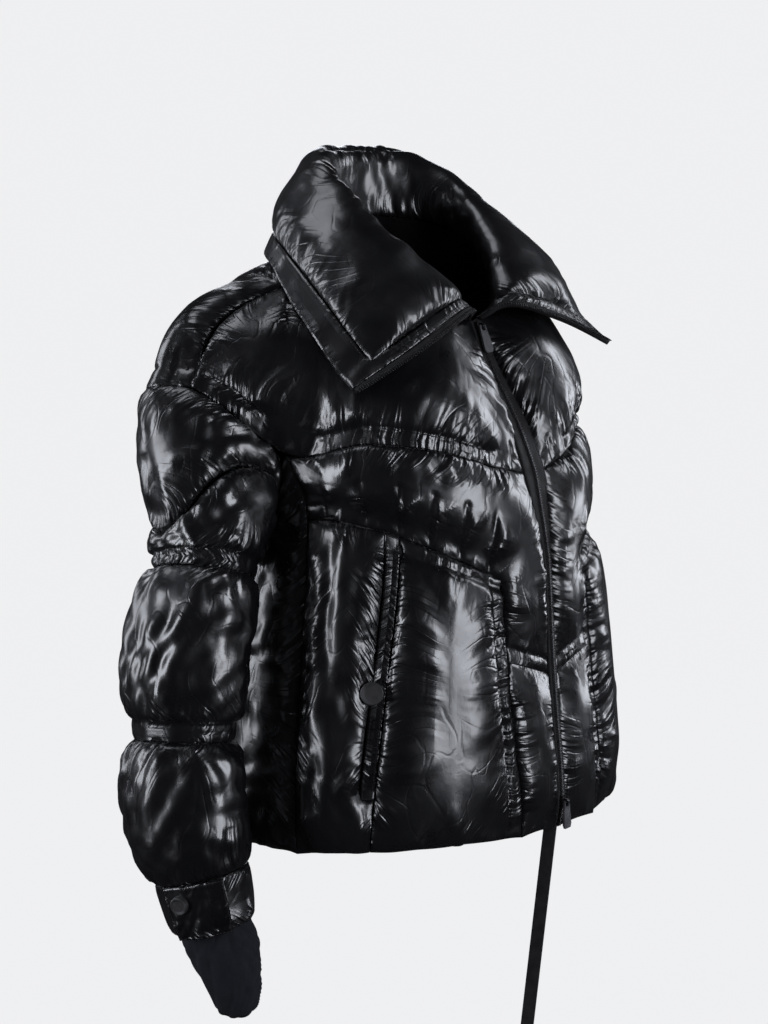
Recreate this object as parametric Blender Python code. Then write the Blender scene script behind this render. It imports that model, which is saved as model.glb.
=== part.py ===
"""Puffer jacket: a cropped, padded shell that keeps its worn form. Metres, +Z up, the wearer faces -Y.

The origin is at the base of the neck. The jacket is one base surface at the level of its seams, woven from three
lofts (yokes, body, sleeves) and a fourth for the collar. Each sewn piece is a patch of that surface with a wall of
its own: plain on the inside, and pillowed and gathered between its seams on the outside.
"""

import math

import bmesh
import bpy
import numpy as np
from mathutils import Matrix, Vector
from mathutils.bvhtree import BVHTree

# Walls and seams
LINING_DEPTH = 0.003  # inner face below the seam level
SEAM_RISE = 0.003  # outer face above the seam level, at a seam
SEAM_GAP = 0.0003  # between two sewn pieces
PILLOW_REACH = 0.055  # from a seam to the full height of a pillow
GATHER_RISE = 0.0017  # height of the gathers at a seam
GATHER_REACH = 0.028  # how far the gathers run into a pillow
FACING_LEAST = 0.15  # how straight a pillow points at the other cloth before it is held back
FACING_CLEAR = 0.003  # left open at the bottom of the crease
FACING_SHARE = 0.40  # of the room to cloth that faces it, what a pillow takes
CREASE_OPEN = 0.92  # flatness of the cloth above which a seam keeps its whole rise
CREASE_SHUT = 0.60  # and below which it has its least, this share of it:
CREASE_SHARE = 0.15
CREASE_DEEP = 0.85  # flatness at the bottom of a crease that faces itself
CREASE_SLOPE = 0.28
LEAST_RISE = 0.0012  # of a pressed pillow
COVER_SHARE = 0.6  # of the room under the collar, what a yoke's pillow takes once the clearance is left
COVER_CLEARANCE = 0.0045

# Heights of the pillows
PILLOW_YOKE = 0.015
PILLOW_FRONT = 0.016
PILLOW_BACK = 0.021
PILLOW_UNDERARM = 0.007
PILLOW_SLEEVE = 0.013
PILLOW_SLEEVE_INNER = 0.007
PILLOW_CUFF = 0.004
PILLOW_COLLAR = 0.011
FLAT_ZIP = 0.0

# Columns round the garment: how many lie in each group
FRONT_COLUMNS = 30
SHOULDER_COLUMNS = 12
UNDERARM_COLUMNS = 8
BACK_COLUMNS = 20
YOKE_COLUMNS = FRONT_COLUMNS + BACK_COLUMNS + 2 * SHOULDER_COLUMNS
BODY_COLUMNS = FRONT_COLUMNS + BACK_COLUMNS + 2 * UNDERARM_COLUMNS
SLEEVE_COLUMNS = SHOULDER_COLUMNS + UNDERARM_COLUMNS

# Neck seam: a tilted ellipse
NECK_HALF_WIDTH = 0.085
NECK_HALF_DEPTH = 0.081
NECK_MIDDLE_Y = -0.004
NECK_MEAN_Z = -0.0050
NECK_TILT = 0.0500
NECK_SIDE_RISE = 0.0230
# Angle from the front (degrees) at which a column leaves the neck seam
NECK_FAN = [
    # column, angle
    (0, -62),
    (15, 3),
    (30, 66),
    (42, 120),
    (62, 242),
    (74, 298),
]

# Yoke spokes: where a column crosses the two rings between the neck and the yoke seam, and the yoke seam itself
YOKE_SPOKES = [
    # column, upper ring (x, y, z), lower ring (x, y, z), yoke seam (x, y, z)
    (0, (-0.116, -0.040, -0.042), (-0.157, -0.038, -0.100), (-0.190, -0.020, -0.180)),
    (3, (-0.095, -0.068, -0.045), (-0.130, -0.082, -0.105), (-0.160, -0.084, -0.166)),
    (7, (-0.065, -0.093, -0.070), (-0.085, -0.118, -0.122), (-0.100, -0.131, -0.173)),
    (12, (-0.018, -0.099, -0.094), (-0.020, -0.126, -0.146), (-0.022, -0.146, -0.195)),
    (15, (0.010, -0.099, -0.100), (0.018, -0.127, -0.153), (0.0235, -0.146, -0.202)),
    (18, (0.038, -0.097, -0.094), (0.056, -0.124, -0.144), (0.068, -0.142, -0.190)),
    (23, (0.074, -0.090, -0.070), (0.099, -0.109, -0.118), (0.120, -0.114, -0.168)),
    (27, (0.098, -0.066, -0.048), (0.133, -0.075, -0.102), (0.160, -0.073, -0.168)),
    (30, (0.116, -0.036, -0.042), (0.160, -0.030, -0.100), (0.190, -0.008, -0.180)),
    (32, (0.138, 0.000, -0.028), (0.192, 0.010, -0.068), (0.232, 0.018, -0.142)),
    (34, (0.146, 0.032, -0.019), (0.214, 0.058, -0.056), (0.256, 0.052, -0.114)),
    (36, (0.147, 0.048, -0.018), (0.216, 0.078, -0.052), (0.270, 0.086, -0.112)),
    (39, (0.138, 0.070, -0.017), (0.198, 0.098, -0.052), (0.240, 0.116, -0.126)),
    (42, (0.120, 0.086, -0.015), (0.165, 0.110, -0.062), (0.184, 0.104, -0.160)),
    (47, (0.068, 0.100, -0.005), (0.090, 0.124, -0.055), (0.105, 0.122, -0.152)),
    (52, (0.000, 0.104, -0.002), (0.000, 0.124, -0.055), (0.000, 0.124, -0.146)),
    (57, (-0.068, 0.100, -0.005), (-0.090, 0.124, -0.055), (-0.105, 0.122, -0.152)),
    (62, (-0.120, 0.085, -0.015), (-0.165, 0.105, -0.060), (-0.186, 0.092, -0.160)),
    (65, (-0.139, 0.066, -0.018), (-0.201, 0.088, -0.050), (-0.250, 0.100, -0.127)),
    (68, (-0.149, 0.042, -0.018), (-0.222, 0.068, -0.051), (-0.284, 0.066, -0.112)),
    (70, (-0.148, 0.026, -0.020), (-0.214, 0.050, -0.056), (-0.262, 0.033, -0.112)),
    (72, (-0.140, 0.000, -0.028), (-0.190, 0.004, -0.066), (-0.234, 0.003, -0.140)),
]
# Lower half of each armhole, from the front of the arm to the back of it
ARMHOLE_RIGHT = [(-0.193, -0.004, -0.224), (-0.197, 0.032, -0.256), (-0.192, 0.068, -0.218)]
ARMHOLE_LEFT = [(0.197, 0.010, -0.222), (0.199, 0.048, -0.252), (0.192, 0.084, -0.216)]

# Body at seam level
TORSO = [
    # z, half width, half depth, middle y
    (-0.180, 0.176, 0.122, -0.022),
    (-0.260, 0.178, 0.127, -0.026),
    (-0.300, 0.186, 0.130, -0.029),
    (-0.350, 0.194, 0.130, -0.029),
    (-0.400, 0.202, 0.132, -0.028),
    (-0.450, 0.210, 0.135, -0.027),
    (-0.500, 0.217, 0.139, -0.026),
    (-0.535, 0.223, 0.142, -0.025),
    (-0.557, 0.216, 0.135, -0.025),
]
BACK_SQUARENESS = 2.5  # the back's plan is a squarer curve than the front's ellipse
# Upright seams: the column each follows, and its angle from the front (degrees) at the pocket line and the hem
UPRIGHTS = [
    # column, upper angle, lower angle
    (0, -84.0, -76.0),
    (4, -51.5, -55.0),
    (5, -46.5, -50.5),
    (11, -14.6, -6.4),
    (12, -10.8, -2.8),
    (14, 8.3, 11.2),
    (15, 10.0, 12.8),
    (16, 11.7, 14.4),
    (18, 31.0, 34.0),
    (19, 34.8, 37.6),
    (25, 68.0, 73.0),
    (26, 73.0, 77.5),
    (30, 92.0, 94.0),
    (38, 130.0, 124.0),
    (48, 180.0, 180.0),
    (58, 230.0, 236.0),
    (66, 276.0, 284.0),
]
UPRIGHT_TOP_Z = -0.300
UPRIGHT_FOOT_Z = -0.540
# Heights of the cross seams of the body by column
CROSS_SEAMS = [
    # column, pocket line z, lower line z
    (0, -0.234, -0.368),
    (4, -0.243, -0.368),
    (8, -0.266, -0.370),
    (12, -0.294, -0.376),
    (15, -0.306, -0.400),
    (18, -0.294, -0.376),
    (22, -0.266, -0.370),
    (26, -0.243, -0.368),
    (30, -0.236, -0.368),
    (34, -0.290, -0.372),
    (38, -0.244, -0.376),
    (48, -0.232, -0.384),
    (58, -0.244, -0.376),
    (62, -0.290, -0.372),
]
BAND_WIDTH = 0.014  # a ruched band lies between two rows of stitches
HEM_RINGS_Z = [-0.455, -0.505, -0.540, -0.557]

# Sleeves at seam level, down the middle of the arm
SLEEVE_RIGHT = [
    # x, y, z, radius
    (-0.257, 0.022, -0.284, 0.0475),
    (-0.284, 0.016, -0.362, 0.0470),
    (-0.294, 0.012, -0.438, 0.0465),
    (-0.298, 0.006, -0.506, 0.0470),
    (-0.290, -0.007, -0.572, 0.0430),
    (-0.280, -0.013, -0.622, 0.0375),
]
SLEEVE_LEFT = [
    # x, y, z, radius
    (0.256, 0.096, -0.276, 0.0480),
    (0.274, 0.148, -0.338, 0.0470),
    (0.272, 0.190, -0.400, 0.0465),
    (0.250, 0.208, -0.462, 0.0470),
    (0.222, 0.206, -0.520, 0.0430),
    (0.200, 0.200, -0.565, 0.0375),
]
SLEEVE_START_ANGLE = -108.0  # of column 0, from the outer side of the arm
WEDGE_SHARE_FRONT = 0.18  # the slanting seam: how far down the cap it starts, in front
WEDGE_SHARE_OUTER = 0.90
WEDGE_SHARE_BACK = 0.55
WEDGE_SHARE_UNDER = 0.38

# Collar: half of it from the zip to the middle of the back. A step is two yoke columns.
COLLAR_RIGHT = [
    # step, roll line (x, y, z), middle of the fall (x, y, z), outer edge (x, y, z)
    (0, (-0.014, -0.101, -0.045), (-0.100, -0.114, -0.078), (-0.168, -0.095, -0.116)),
    (3, (-0.036, -0.082, -0.024), (-0.114, -0.086, -0.040), (-0.172, -0.066, -0.092)),
    (5, (-0.060, -0.054, 0.008), (-0.124, -0.056, -0.006), (-0.172, -0.038, -0.064)),
    (7, (-0.077, -0.022, 0.038), (-0.125, -0.020, 0.022), (-0.166, -0.004, -0.036)),
    (10, (-0.082, 0.024, 0.074), (-0.116, 0.036, 0.046), (-0.147, 0.044, -0.001)),
    (13, (-0.062, 0.058, 0.100), (-0.083, 0.082, 0.064), (-0.103, 0.101, 0.008)),
    (18, (0.000, 0.082, 0.108), (0.000, 0.112, 0.070), (0.000, 0.138, 0.012)),
]
COLLAR_LEFT = [
    # step, roll line (x, y, z), middle of the fall (x, y, z), outer edge (x, y, z)
    (0, (0.022, -0.101, -0.042), (0.086, -0.119, -0.054), (0.176, -0.112, -0.084)),
    (3, (0.042, -0.082, -0.022), (0.114, -0.088, -0.026), (0.178, -0.078, -0.070)),
    (5, (0.062, -0.054, 0.010), (0.124, -0.054, 0.004), (0.176, -0.044, -0.052)),
    (7, (0.077, -0.022, 0.038), (0.124, -0.018, 0.026), (0.166, -0.004, -0.032)),
    (10, (0.082, 0.024, 0.074), (0.116, 0.036, 0.046), (0.147, 0.044, -0.001)),
    (13, (0.062, 0.058, 0.100), (0.083, 0.082, 0.064), (0.103, 0.101, 0.008)),
    (18, (0.000, 0.082, 0.108), (0.000, 0.112, 0.070), (0.000, 0.138, 0.012)),
]
COLLAR_STEPS = 36
COLLAR_TAPE_STEP = 0.40  # the zip tape's width on the open front edges, in steps
COLLAR_BORDER_STEP = 1.30
COLLAR_ROWS = [0.0, 0.4, 0.75, 1.0, 1.22, 1.5, 1.8, 2.2, 2.62, 3.0]  # neck seam, roll line, fall, edge
COLLAR_ROLL_ROW = 3
COLLAR_CHANNEL_ROW = 8  # the row of stitches that parts the border from the fall

# Small hard pieces
SNAP_SIDES = 24
CUFF_SNAP_RADIUS = 0.0088
POCKET_SNAP_RADIUS = 0.0112
SNAP_HEIGHT = 0.0038
SNAP_ROUNDING = 0.0010
SEAT_GAP = 0.0003
SNAP_SEAT_GAP = 0.0005
SEAT_REACH = 0.04  # how far off the cloth a search for it starts
TAB_THICKNESS = 0.0022
TAB_LIFT = 0.0008
SLIDER_WIDTH = 0.0090
SLIDER_LENGTH = 0.0110
SLIDER_PLATE = 0.0030
BRIDGE_WIDTH = 0.0028
BRIDGE_INNER = 0.0018
BRIDGE_OUTER = 0.0032
BRIDGE_SINK = 0.0006  # how far the bridge's feet go into the plate
PULL_BAR_RADIUS = 0.0010
PULL_AXIS_HEIGHT = SLIDER_PLATE / 2 + PULL_BAR_RADIUS + 0.0006  # the pull's bar turns just over the plate
PULL_WINDOW_HALF_WIDTH = 0.0025
PULL_WINDOW_LENGTH = 0.0048
PULL_TOP_HALF_WIDTH = 0.0042
PULL_FOOT_HALF_WIDTH = 0.0062
PULL_LENGTH = 0.0270
PULL_HALF_THICKNESS = 0.0012

# Knit cuffs: tubes out of the cuff bands, longest over the palm
KNIT_WALL = 0.0018
KNIT_CLEARANCE = 0.0009  # under the cuff band's lining, where the band's facets come nearest
KNIT_INSIDE = 0.018  # how far it reaches into the band
KNIT_OUTSIDE = 0.002  # how far past the band's end it starts to narrow
KNIT_COLUMNS = 24
KNIT_RIGHT = [
    # x, y, z, half width across the arm, half depth
    (-0.268, -0.019, -0.655, 0.0345, 0.0310),
    (-0.261, -0.022, -0.684, 0.0300, 0.0230),
]
KNIT_LEFT = [
    # x, y, z, half width across the arm, half depth
    (0.1850, 0.1940, -0.595, 0.0345, 0.0310),
    (0.1720, 0.1880, -0.622, 0.0300, 0.0230),
]
KNIT_PALM_DROP = 0.024
KNIT_NOTCH_DEPTH = 0.034
KNIT_NOTCH_ANGLE = 150.0
KNIT_NOTCH_SPREAD = 26.0

# Webbing loop inside the left front
STRAP_WIDTH = 0.0130
STRAP_THICKNESS = 0.0016
STRAP_TOP = (0.0585, -0.1495, -0.500)
STRAP_FOOT = (0.046, -0.1180, -0.800)
STRAP_HALF_SPREAD = 0.0040

NYLON = ("nylon_shell", (0.012, 0.012, 0.014), 0.22, 0.0)
LINER = ("knit_rib", (0.010, 0.011, 0.016), 0.85, 0.0)
TAPE = ("zip_tape", (0.014, 0.014, 0.016), 0.60, 0.0)
METAL = ("black_metal", (0.020, 0.020, 0.022), 0.38, 0.85)
RUBBER = ("soft_pull", (0.022, 0.022, 0.025), 0.55, 0.0)
WEBBING = ("webbing", (0.012, 0.012, 0.014), 0.70, 0.0)


# ---------------------------------------------------------------- curves and rings

def unit(vectors):
    lengths = np.linalg.norm(vectors, axis=-1, keepdims=True)
    return vectors / np.maximum(lengths, 1e-12)


def spline(knots, values, at):
    """A smooth curve through values (K, ...) at knots (K), read at the places in at (M)."""
    knots = np.asarray(knots, float)
    values = np.asarray(values, float)
    steps = np.diff(knots)
    slopes = np.diff(values, axis=0) / steps.reshape(-1, *[1] * (values.ndim - 1))
    tangents = np.empty_like(values)
    tangents[0] = slopes[0]
    tangents[-1] = slopes[-1]
    for i in range(1, len(knots) - 1):
        before, after = steps[i - 1], steps[i]
        tangents[i] = (slopes[i - 1] * after + slopes[i] * before) / (before + after)
    result = []
    for x in np.atleast_1d(at):
        i = int(np.clip(np.searchsorted(knots, x, side="right") - 1, 0, len(knots) - 2))
        width = steps[i]
        s = (x - knots[i]) / width
        result.append(
            (2 * s**3 - 3 * s**2 + 1) * values[i]
            + (s**3 - 2 * s**2 + s) * width * tangents[i]
            + (3 * s**2 - 2 * s**3) * values[i + 1]
            + (s**3 - s**2) * width * tangents[i + 1]
        )
    return np.array(result)


def closed_spline(columns, points, count):
    """A closed smooth curve through points at the given columns, read at each whole column."""
    wrap = 3
    knots = [c - count for c in columns[-wrap:]] + list(columns) + [c + count for c in columns[:wrap]]
    values = list(points[-wrap:]) + list(points) + list(points[:wrap])
    return spline(knots, values, np.arange(count))


def along(points, count):
    """Points at even steps along a smooth curve through points, count steps in all."""
    points = np.asarray(points, float)
    knots = np.concatenate([[0.0], np.cumsum(np.linalg.norm(np.diff(points, axis=0), axis=1))])
    return spline(knots, points, np.linspace(0.0, knots[-1], count + 1))


def loft(rings, rows):
    """A smooth sheet through key rings (K, N, 3). rows gives each row's place among them, whole or per column."""
    rings = np.asarray(rings, float)
    count = rings.shape[1]
    places = np.array([np.full(count, row) if np.ndim(row) == 0 else row for row in rows], float)
    sheet = np.empty((len(places), count, 3))
    for column in range(count):
        profile = rings[:, column]
        steps = np.linalg.norm(np.diff(profile, axis=0), axis=1)
        knots = np.concatenate([[0.0], np.cumsum(np.maximum(steps, 1e-6))])
        at = np.interp(places[:, column], np.arange(len(rings)), knots)
        sheet[:, column] = spline(knots, profile, at)
    return sheet


def neck_ring():
    """The neck seam, one point a column of the yokes."""
    ring = []
    fan_columns = [c for c, _ in NECK_FAN]
    fan_angles = [a for _, a in NECK_FAN]
    for column in range(YOKE_COLUMNS):
        t = math.radians(float(np.interp(column, fan_columns, fan_angles)))
        ring.append((
            NECK_HALF_WIDTH * math.sin(t),
            NECK_MIDDLE_Y - NECK_HALF_DEPTH * math.cos(t),
            NECK_MEAN_Z - NECK_TILT * math.cos(t) + NECK_SIDE_RISE * math.sin(t) ** 2,
        ))
    return np.array(ring)


def torso_point(column, z):
    """A point of the body at seam level on an upright column."""
    columns = [c for c, _, _ in UPRIGHTS]
    upper = np.interp(column, columns, [a for _, a, _ in UPRIGHTS])
    lower = np.interp(column, columns, [a for _, _, a in UPRIGHTS])
    share = np.clip((UPRIGHT_TOP_Z - z) / (UPRIGHT_TOP_Z - UPRIGHT_FOOT_Z), 0.0, 1.0)
    t = math.radians(upper + (lower - upper) * share)
    heights = [-row[0] for row in TORSO]
    half_width, half_depth, middle = (np.interp(-z, heights, [row[i] for row in TORSO]) for i in (1, 2, 3))
    power = 1.0 if math.cos(t) > 0 else 2.0 / BACK_SQUARENESS
    x = half_width * math.copysign(abs(math.sin(t)) ** power, math.sin(t))
    y = middle - half_depth * math.copysign(abs(math.cos(t)) ** power, math.cos(t))
    return (x, y, z)


def armhole(front, low_points, back):
    """The under-arm half of an armhole, front to back, both ends included."""
    return along([front, *low_points, back], UNDERARM_COLUMNS)


def sleeve_ring(centre, radius, direction, side):
    """A ring across the arm. Column 0 is where the sleeve's own columns start; side is -1 right, +1 left."""
    down = unit(np.array(direction))
    outward = np.array([side, 0.0, 0.0])
    outward = unit(outward - down * outward.dot(down))
    following = np.cross(outward, down)
    ring = []
    for column in range(SLEEVE_COLUMNS):
        a = math.radians(SLEEVE_START_ANGLE + 360.0 / SLEEVE_COLUMNS * column)
        ring.append(centre + radius * (math.cos(a) * outward + math.sin(a) * following))
    return np.array(ring)


# ---------------------------------------------------------------- base surface

class Cloth:
    """The base surface at seam level: shared points, four-sided cells named after their piece, and stitch lines."""

    def __init__(self):
        self.points = []
        self.pillow = []
        self.parity_row = []
        self.parity_column = []
        self.cells = []
        self.names = []
        self.cross_stitches = []
        self.upright_stitches = []
        self.lookup = {}

    def point(self, position, pillow, row, column):
        key = tuple(round(float(c), 6) for c in position)
        if key not in self.lookup:
            self.lookup[key] = len(self.points)
            self.points.append(np.array(position, float))
            self.pillow.append(pillow)
            self.parity_row.append(-1.0 if row % 2 else 1.0)
            self.parity_column.append(-1.0 if column % 2 else 1.0)
        return self.lookup[key]

    def add(self, sheet, name_of, pillow_of, cross_rows, upright_columns, closed=True):
        """Add a sheet of rows and columns. The lines of stitches are (row, from, to) and (column, from, to)."""
        rows, count = sheet.shape[:2]
        ids = np.empty((rows, count), int)
        for row in range(rows):
            for column in range(count):
                ids[row, column] = self.point(sheet[row, column], pillow_of(row, column), row, column)
        for row in range(rows - 1):
            for column in range(count if closed else count - 1):
                after = (column + 1) % count
                name = name_of(row, column)
                self.cells.append((ids[row, column], ids[row + 1, column], ids[row + 1, after], ids[row, after]))
                self.names.append(name)
        for row, start, end in cross_rows:
            for column in range(start, end):
                self.cross_stitches.append((ids[row, column % count], ids[row, (column + 1) % count]))
        for column, start, end in upright_columns:
            for row in range(start, end):
                self.upright_stitches.append((ids[row, column % count], ids[row + 1, column % count]))
        return ids

    def finish(self):
        """Work out the normals, and how flat the cloth is at each point: 1 where flat, less in a crease."""
        self.points = np.array(self.points)
        self.pillow = np.array(self.pillow)
        total = np.zeros_like(self.points)
        count = np.zeros(len(self.points))
        for a, b, c, d in self.cells:
            p = self.points
            face = unit(np.cross(p[c] - p[a], p[d] - p[b]))
            for i in (a, b, c, d):
                total[i] += face
                count[i] += 1
        self.flatness = np.linalg.norm(total, axis=1) / count
        self.normals = unit(total)

    def away_from(self, stitches):
        """Each point's distance from the nearest of the stitches."""
        nearest = np.full(len(self.points), 1.0)
        for a, b in stitches:
            start, run = self.points[a], self.points[b] - self.points[a]
            offset = self.points - start
            share = np.clip(offset @ run / max(run @ run, 1e-12), 0.0, 1.0)
            nearest = np.minimum(nearest, np.linalg.norm(offset - share[:, None] * run, axis=1))
        return nearest

    def heights(self):
        """Height of the outer face over the seam level at each point."""
        cross = self.away_from(self.cross_stitches)
        upright = self.away_from(self.upright_stitches)
        reach = np.clip(np.minimum(cross, upright) / PILLOW_REACH, 0.0, 1.0)
        crown = np.sqrt(1.0 - (1.0 - reach) ** 2)
        gathers = GATHER_RISE * (
            np.exp(-cross / GATHER_REACH) * np.array(self.parity_column)
            + np.exp(-upright / GATHER_REACH) * np.array(self.parity_row)
        )
        room = np.clip(self.pillow / PILLOW_CUFF, 0.0, 1.0)
        full = SEAM_RISE + self.pillow * crown + gathers * room
        return full * np.clip((self.flatness - CREASE_SHUT) / (CREASE_OPEN - CREASE_SHUT), CREASE_SHARE, 1.0)

    def tree(self):
        return BVHTree.FromPolygons([Vector(p) for p in self.points], [tuple(map(int, c)) for c in self.cells])


def limit_facing(cloth, heights):
    """Hold the pillows back where a sleeve and the body face each other under the arm."""
    on_sleeve = [name.startswith("sleeve") for name in cloth.names]
    corners = [Vector(p) for p in cloth.points]
    for here in (True, False):
        own = {i for cell, there in zip(cloth.cells, on_sleeve) if there == here for i in cell}
        facing = [tuple(map(int, cell)) for cell, there in zip(cloth.cells, on_sleeve) if there != here]
        tree = BVHTree.FromPolygons(corners, facing)
        for i in own:
            nearest, _, _, distance = tree.find_nearest(corners[i], 0.08)
            if nearest is None or distance < 1e-5:
                continue
            towards = (nearest - corners[i]).dot(Vector(cloth.normals[i])) / distance
            if towards > FACING_LEAST:
                room = FACING_SHARE * max(distance - FACING_CLEAR, 0.0) / towards
                heights[i] = min(heights[i], room + SEAM_GAP)
    return heights


def limit_crease(cloth, heights):
    """Let the pillows rise only slowly out of a crease."""
    creased = cloth.points[cloth.flatness < CREASE_DEEP]
    for i, point in enumerate(cloth.points):
        away = np.linalg.norm(creased - point, axis=1).min()
        heights[i] = min(heights[i], SEAM_GAP + CREASE_SLOPE * away)
    return heights


def limit_under(cloth, heights, cover):
    """Press the yokes' pillows down under the collar that lies on them."""
    tree = cover.tree()
    for i, point in enumerate(cloth.points):
        _, _, _, distance = tree.find_nearest(Vector(point), 0.06)
        if distance is not None:
            heights[i] = min(heights[i], max(LEAST_RISE, COVER_SHARE * distance - COVER_CLEARANCE))
    return heights


# ---------------------------------------------------------------- solids

def make_object(name, points, faces, finish):
    title, colour, roughness, metallic = finish
    material = bpy.data.materials.get(title) or bpy.data.materials.new(title)
    material.use_nodes = True
    shader = material.node_tree.nodes["Principled BSDF"]
    shader.inputs["Base Color"].default_value = (*colour, 1.0)
    shader.inputs["Roughness"].default_value = roughness
    shader.inputs["Metallic"].default_value = metallic
    mesh = bpy.data.meshes.new(name)
    mesh.from_pydata([tuple(map(float, p)) for p in points], [], faces)
    mesh.materials.append(material)
    mesh.shade_smooth()
    mesh.set_sharp_from_angle(angle=math.radians(50))
    piece = bpy.data.objects.new(name, mesh)
    bpy.context.scene.collection.objects.link(piece)
    return piece


def patch_solid(name, cloth, chosen, outer, inner, inset, finish):
    """One sewn piece: the chosen cells between the outer and inner faces, drawn in by inset all round."""
    directed = {}
    for cell in chosen:
        for a, b in zip(cell, cell[1:] + cell[:1]):
            directed[(a, b)] = True
    border = [(a, b) for a, b in directed if (b, a) not in directed]
    inward = {}
    for a, b in border:
        edge = cloth.points[b] - cloth.points[a]
        for i in (a, b):
            inward.setdefault(i, []).append(unit(np.cross(cloth.normals[i], edge)))
    shift = {}
    for i, sides in inward.items():
        total = np.sum(sides, axis=0)
        shift[i] = inset * total / max(1.0 + float(np.dot(sides[0], sides[-1])), 0.35)
    used = sorted({i for cell in chosen for i in cell})
    order = {i: k for k, i in enumerate(used)}
    count = len(used)
    points = [outer[i] + shift.get(i, 0.0) for i in used] + [inner[i] + shift.get(i, 0.0) for i in used]
    faces = []
    for cell in chosen:
        faces.append(tuple(order[i] for i in cell))
        faces.append(tuple(order[cell[i]] + count for i in (0, 3, 2, 1)))
    for a, b in border:
        oa, ob, ia, ib = order[a], order[b], order[a] + count, order[b] + count
        if a < b:
            faces += [(ob, oa, ib), (oa, ia, ib)]
        else:
            faces += [(ob, oa, ia), (ob, ia, ib)]
    return make_object(name, points, faces, finish)


def cells_named(cloth, name):
    return [tuple(map(int, cell)) for cell, label in zip(cloth.cells, cloth.names) if label == name]


def outer_tree(cloth, outer):
    """The outer face, its cells parted along the same diagonal as the solids' faces."""
    triangles = [half for a, b, c, d in cloth.cells for half in ((a, b, c), (a, c, d))]
    return BVHTree.FromPolygons([Vector(p) for p in outer], [tuple(map(int, t)) for t in triangles])


def seat(tree, place, normal, radius):
    """How far over place a flat round foot of this radius first meets the cloth below it."""
    normal = unit(np.asarray(normal, float))
    aside = unit(np.cross(normal, (0.0, 0.0, 1.0)))
    upward = np.cross(aside, normal)
    highest = 0.0
    for ring in (0.0, 0.5, 1.0, 1.1):
        for k in range(16):
            a = math.tau * k / 16
            start = place + radius * ring * (math.cos(a) * aside + math.sin(a) * upward) + SEAT_REACH * normal
            hit, _, _, distance = tree.ray_cast(Vector(start), Vector(-normal), 2 * SEAT_REACH)
            if hit is not None:
                highest = max(highest, SEAT_REACH - distance)
    return highest


def basis(origin, across, outward):
    """A matrix whose X runs across, Z outward, and Y the rest."""
    z = unit(np.asarray(outward, float))
    x = unit(np.asarray(across, float) - z * np.dot(across, z))
    y = np.cross(z, x)
    rows = [[x[i], y[i], z[i], origin[i]] for i in range(3)] + [[0, 0, 0, 1]]
    return Matrix(rows)


def snap(name, tree, place, normal, radius):
    """A round snap cap with a rolled rim and a shallow dish. Its foot follows the cloth that it is pressed on."""
    frame = basis(place, (1.0, 0.0, 0.2), normal)
    down = -unit(np.asarray(normal, float))

    def cloth_height(x, y):
        hit, _, _, distance = tree.ray_cast(frame @ Vector((x, y, SEAT_REACH)), Vector(down), 2 * SEAT_REACH)
        return SEAT_REACH - distance if hit is not None else 0.0

    foot = []
    for r in (radius * 0.5, radius):
        for k in range(SNAP_SIDES):
            a = math.tau * k / SNAP_SIDES
            x, y = r * math.cos(a), r * math.sin(a)
            foot.append((x, y, cloth_height(x, y) + SNAP_SEAT_GAP))
    highest = max(z for _, _, z in foot)
    points = [(0.0, 0.0, cloth_height(0.0, 0.0) + SNAP_SEAT_GAP)] + foot
    top_profile = [
        (radius, highest + SNAP_HEIGHT - SNAP_ROUNDING),
        (radius - SNAP_ROUNDING, highest + SNAP_HEIGHT),
        (radius * 0.62, highest + SNAP_HEIGHT - SNAP_ROUNDING * 0.7),
    ]
    for r, z in top_profile:
        for k in range(SNAP_SIDES):
            a = math.tau * k / SNAP_SIDES
            points.append((r * math.cos(a), r * math.sin(a), z))
    rings = 2 + len(top_profile)
    faces = []
    for k in range(SNAP_SIDES):
        after = (k + 1) % SNAP_SIDES
        faces.append((0, 1 + after, 1 + k))
        for ring in range(rings - 1):
            low, high = 1 + ring * SNAP_SIDES, 1 + (ring + 1) * SNAP_SIDES
            faces.append((low + k, low + after, high + after, high + k))
    top = 1 + (rings - 1) * SNAP_SIDES
    faces.append(tuple(range(top, top + SNAP_SIDES)))
    piece = make_object(name, points, faces, METAL)
    piece.matrix_world = frame
    return piece


def extruded(name, outline, half, finish):
    """A solid from an outline in X and Y, from -half to +half along Z."""
    count = len(outline)
    points = [(x, y, -half) for x, y in outline] + [(x, y, half) for x, y in outline]
    faces = [tuple(reversed(range(count))), tuple(range(count, 2 * count))]
    for k in range(count):
        after = (k + 1) % count
        faces.append((k, after, count + after, count + k))
    return make_object(name, points, faces, finish)


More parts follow.
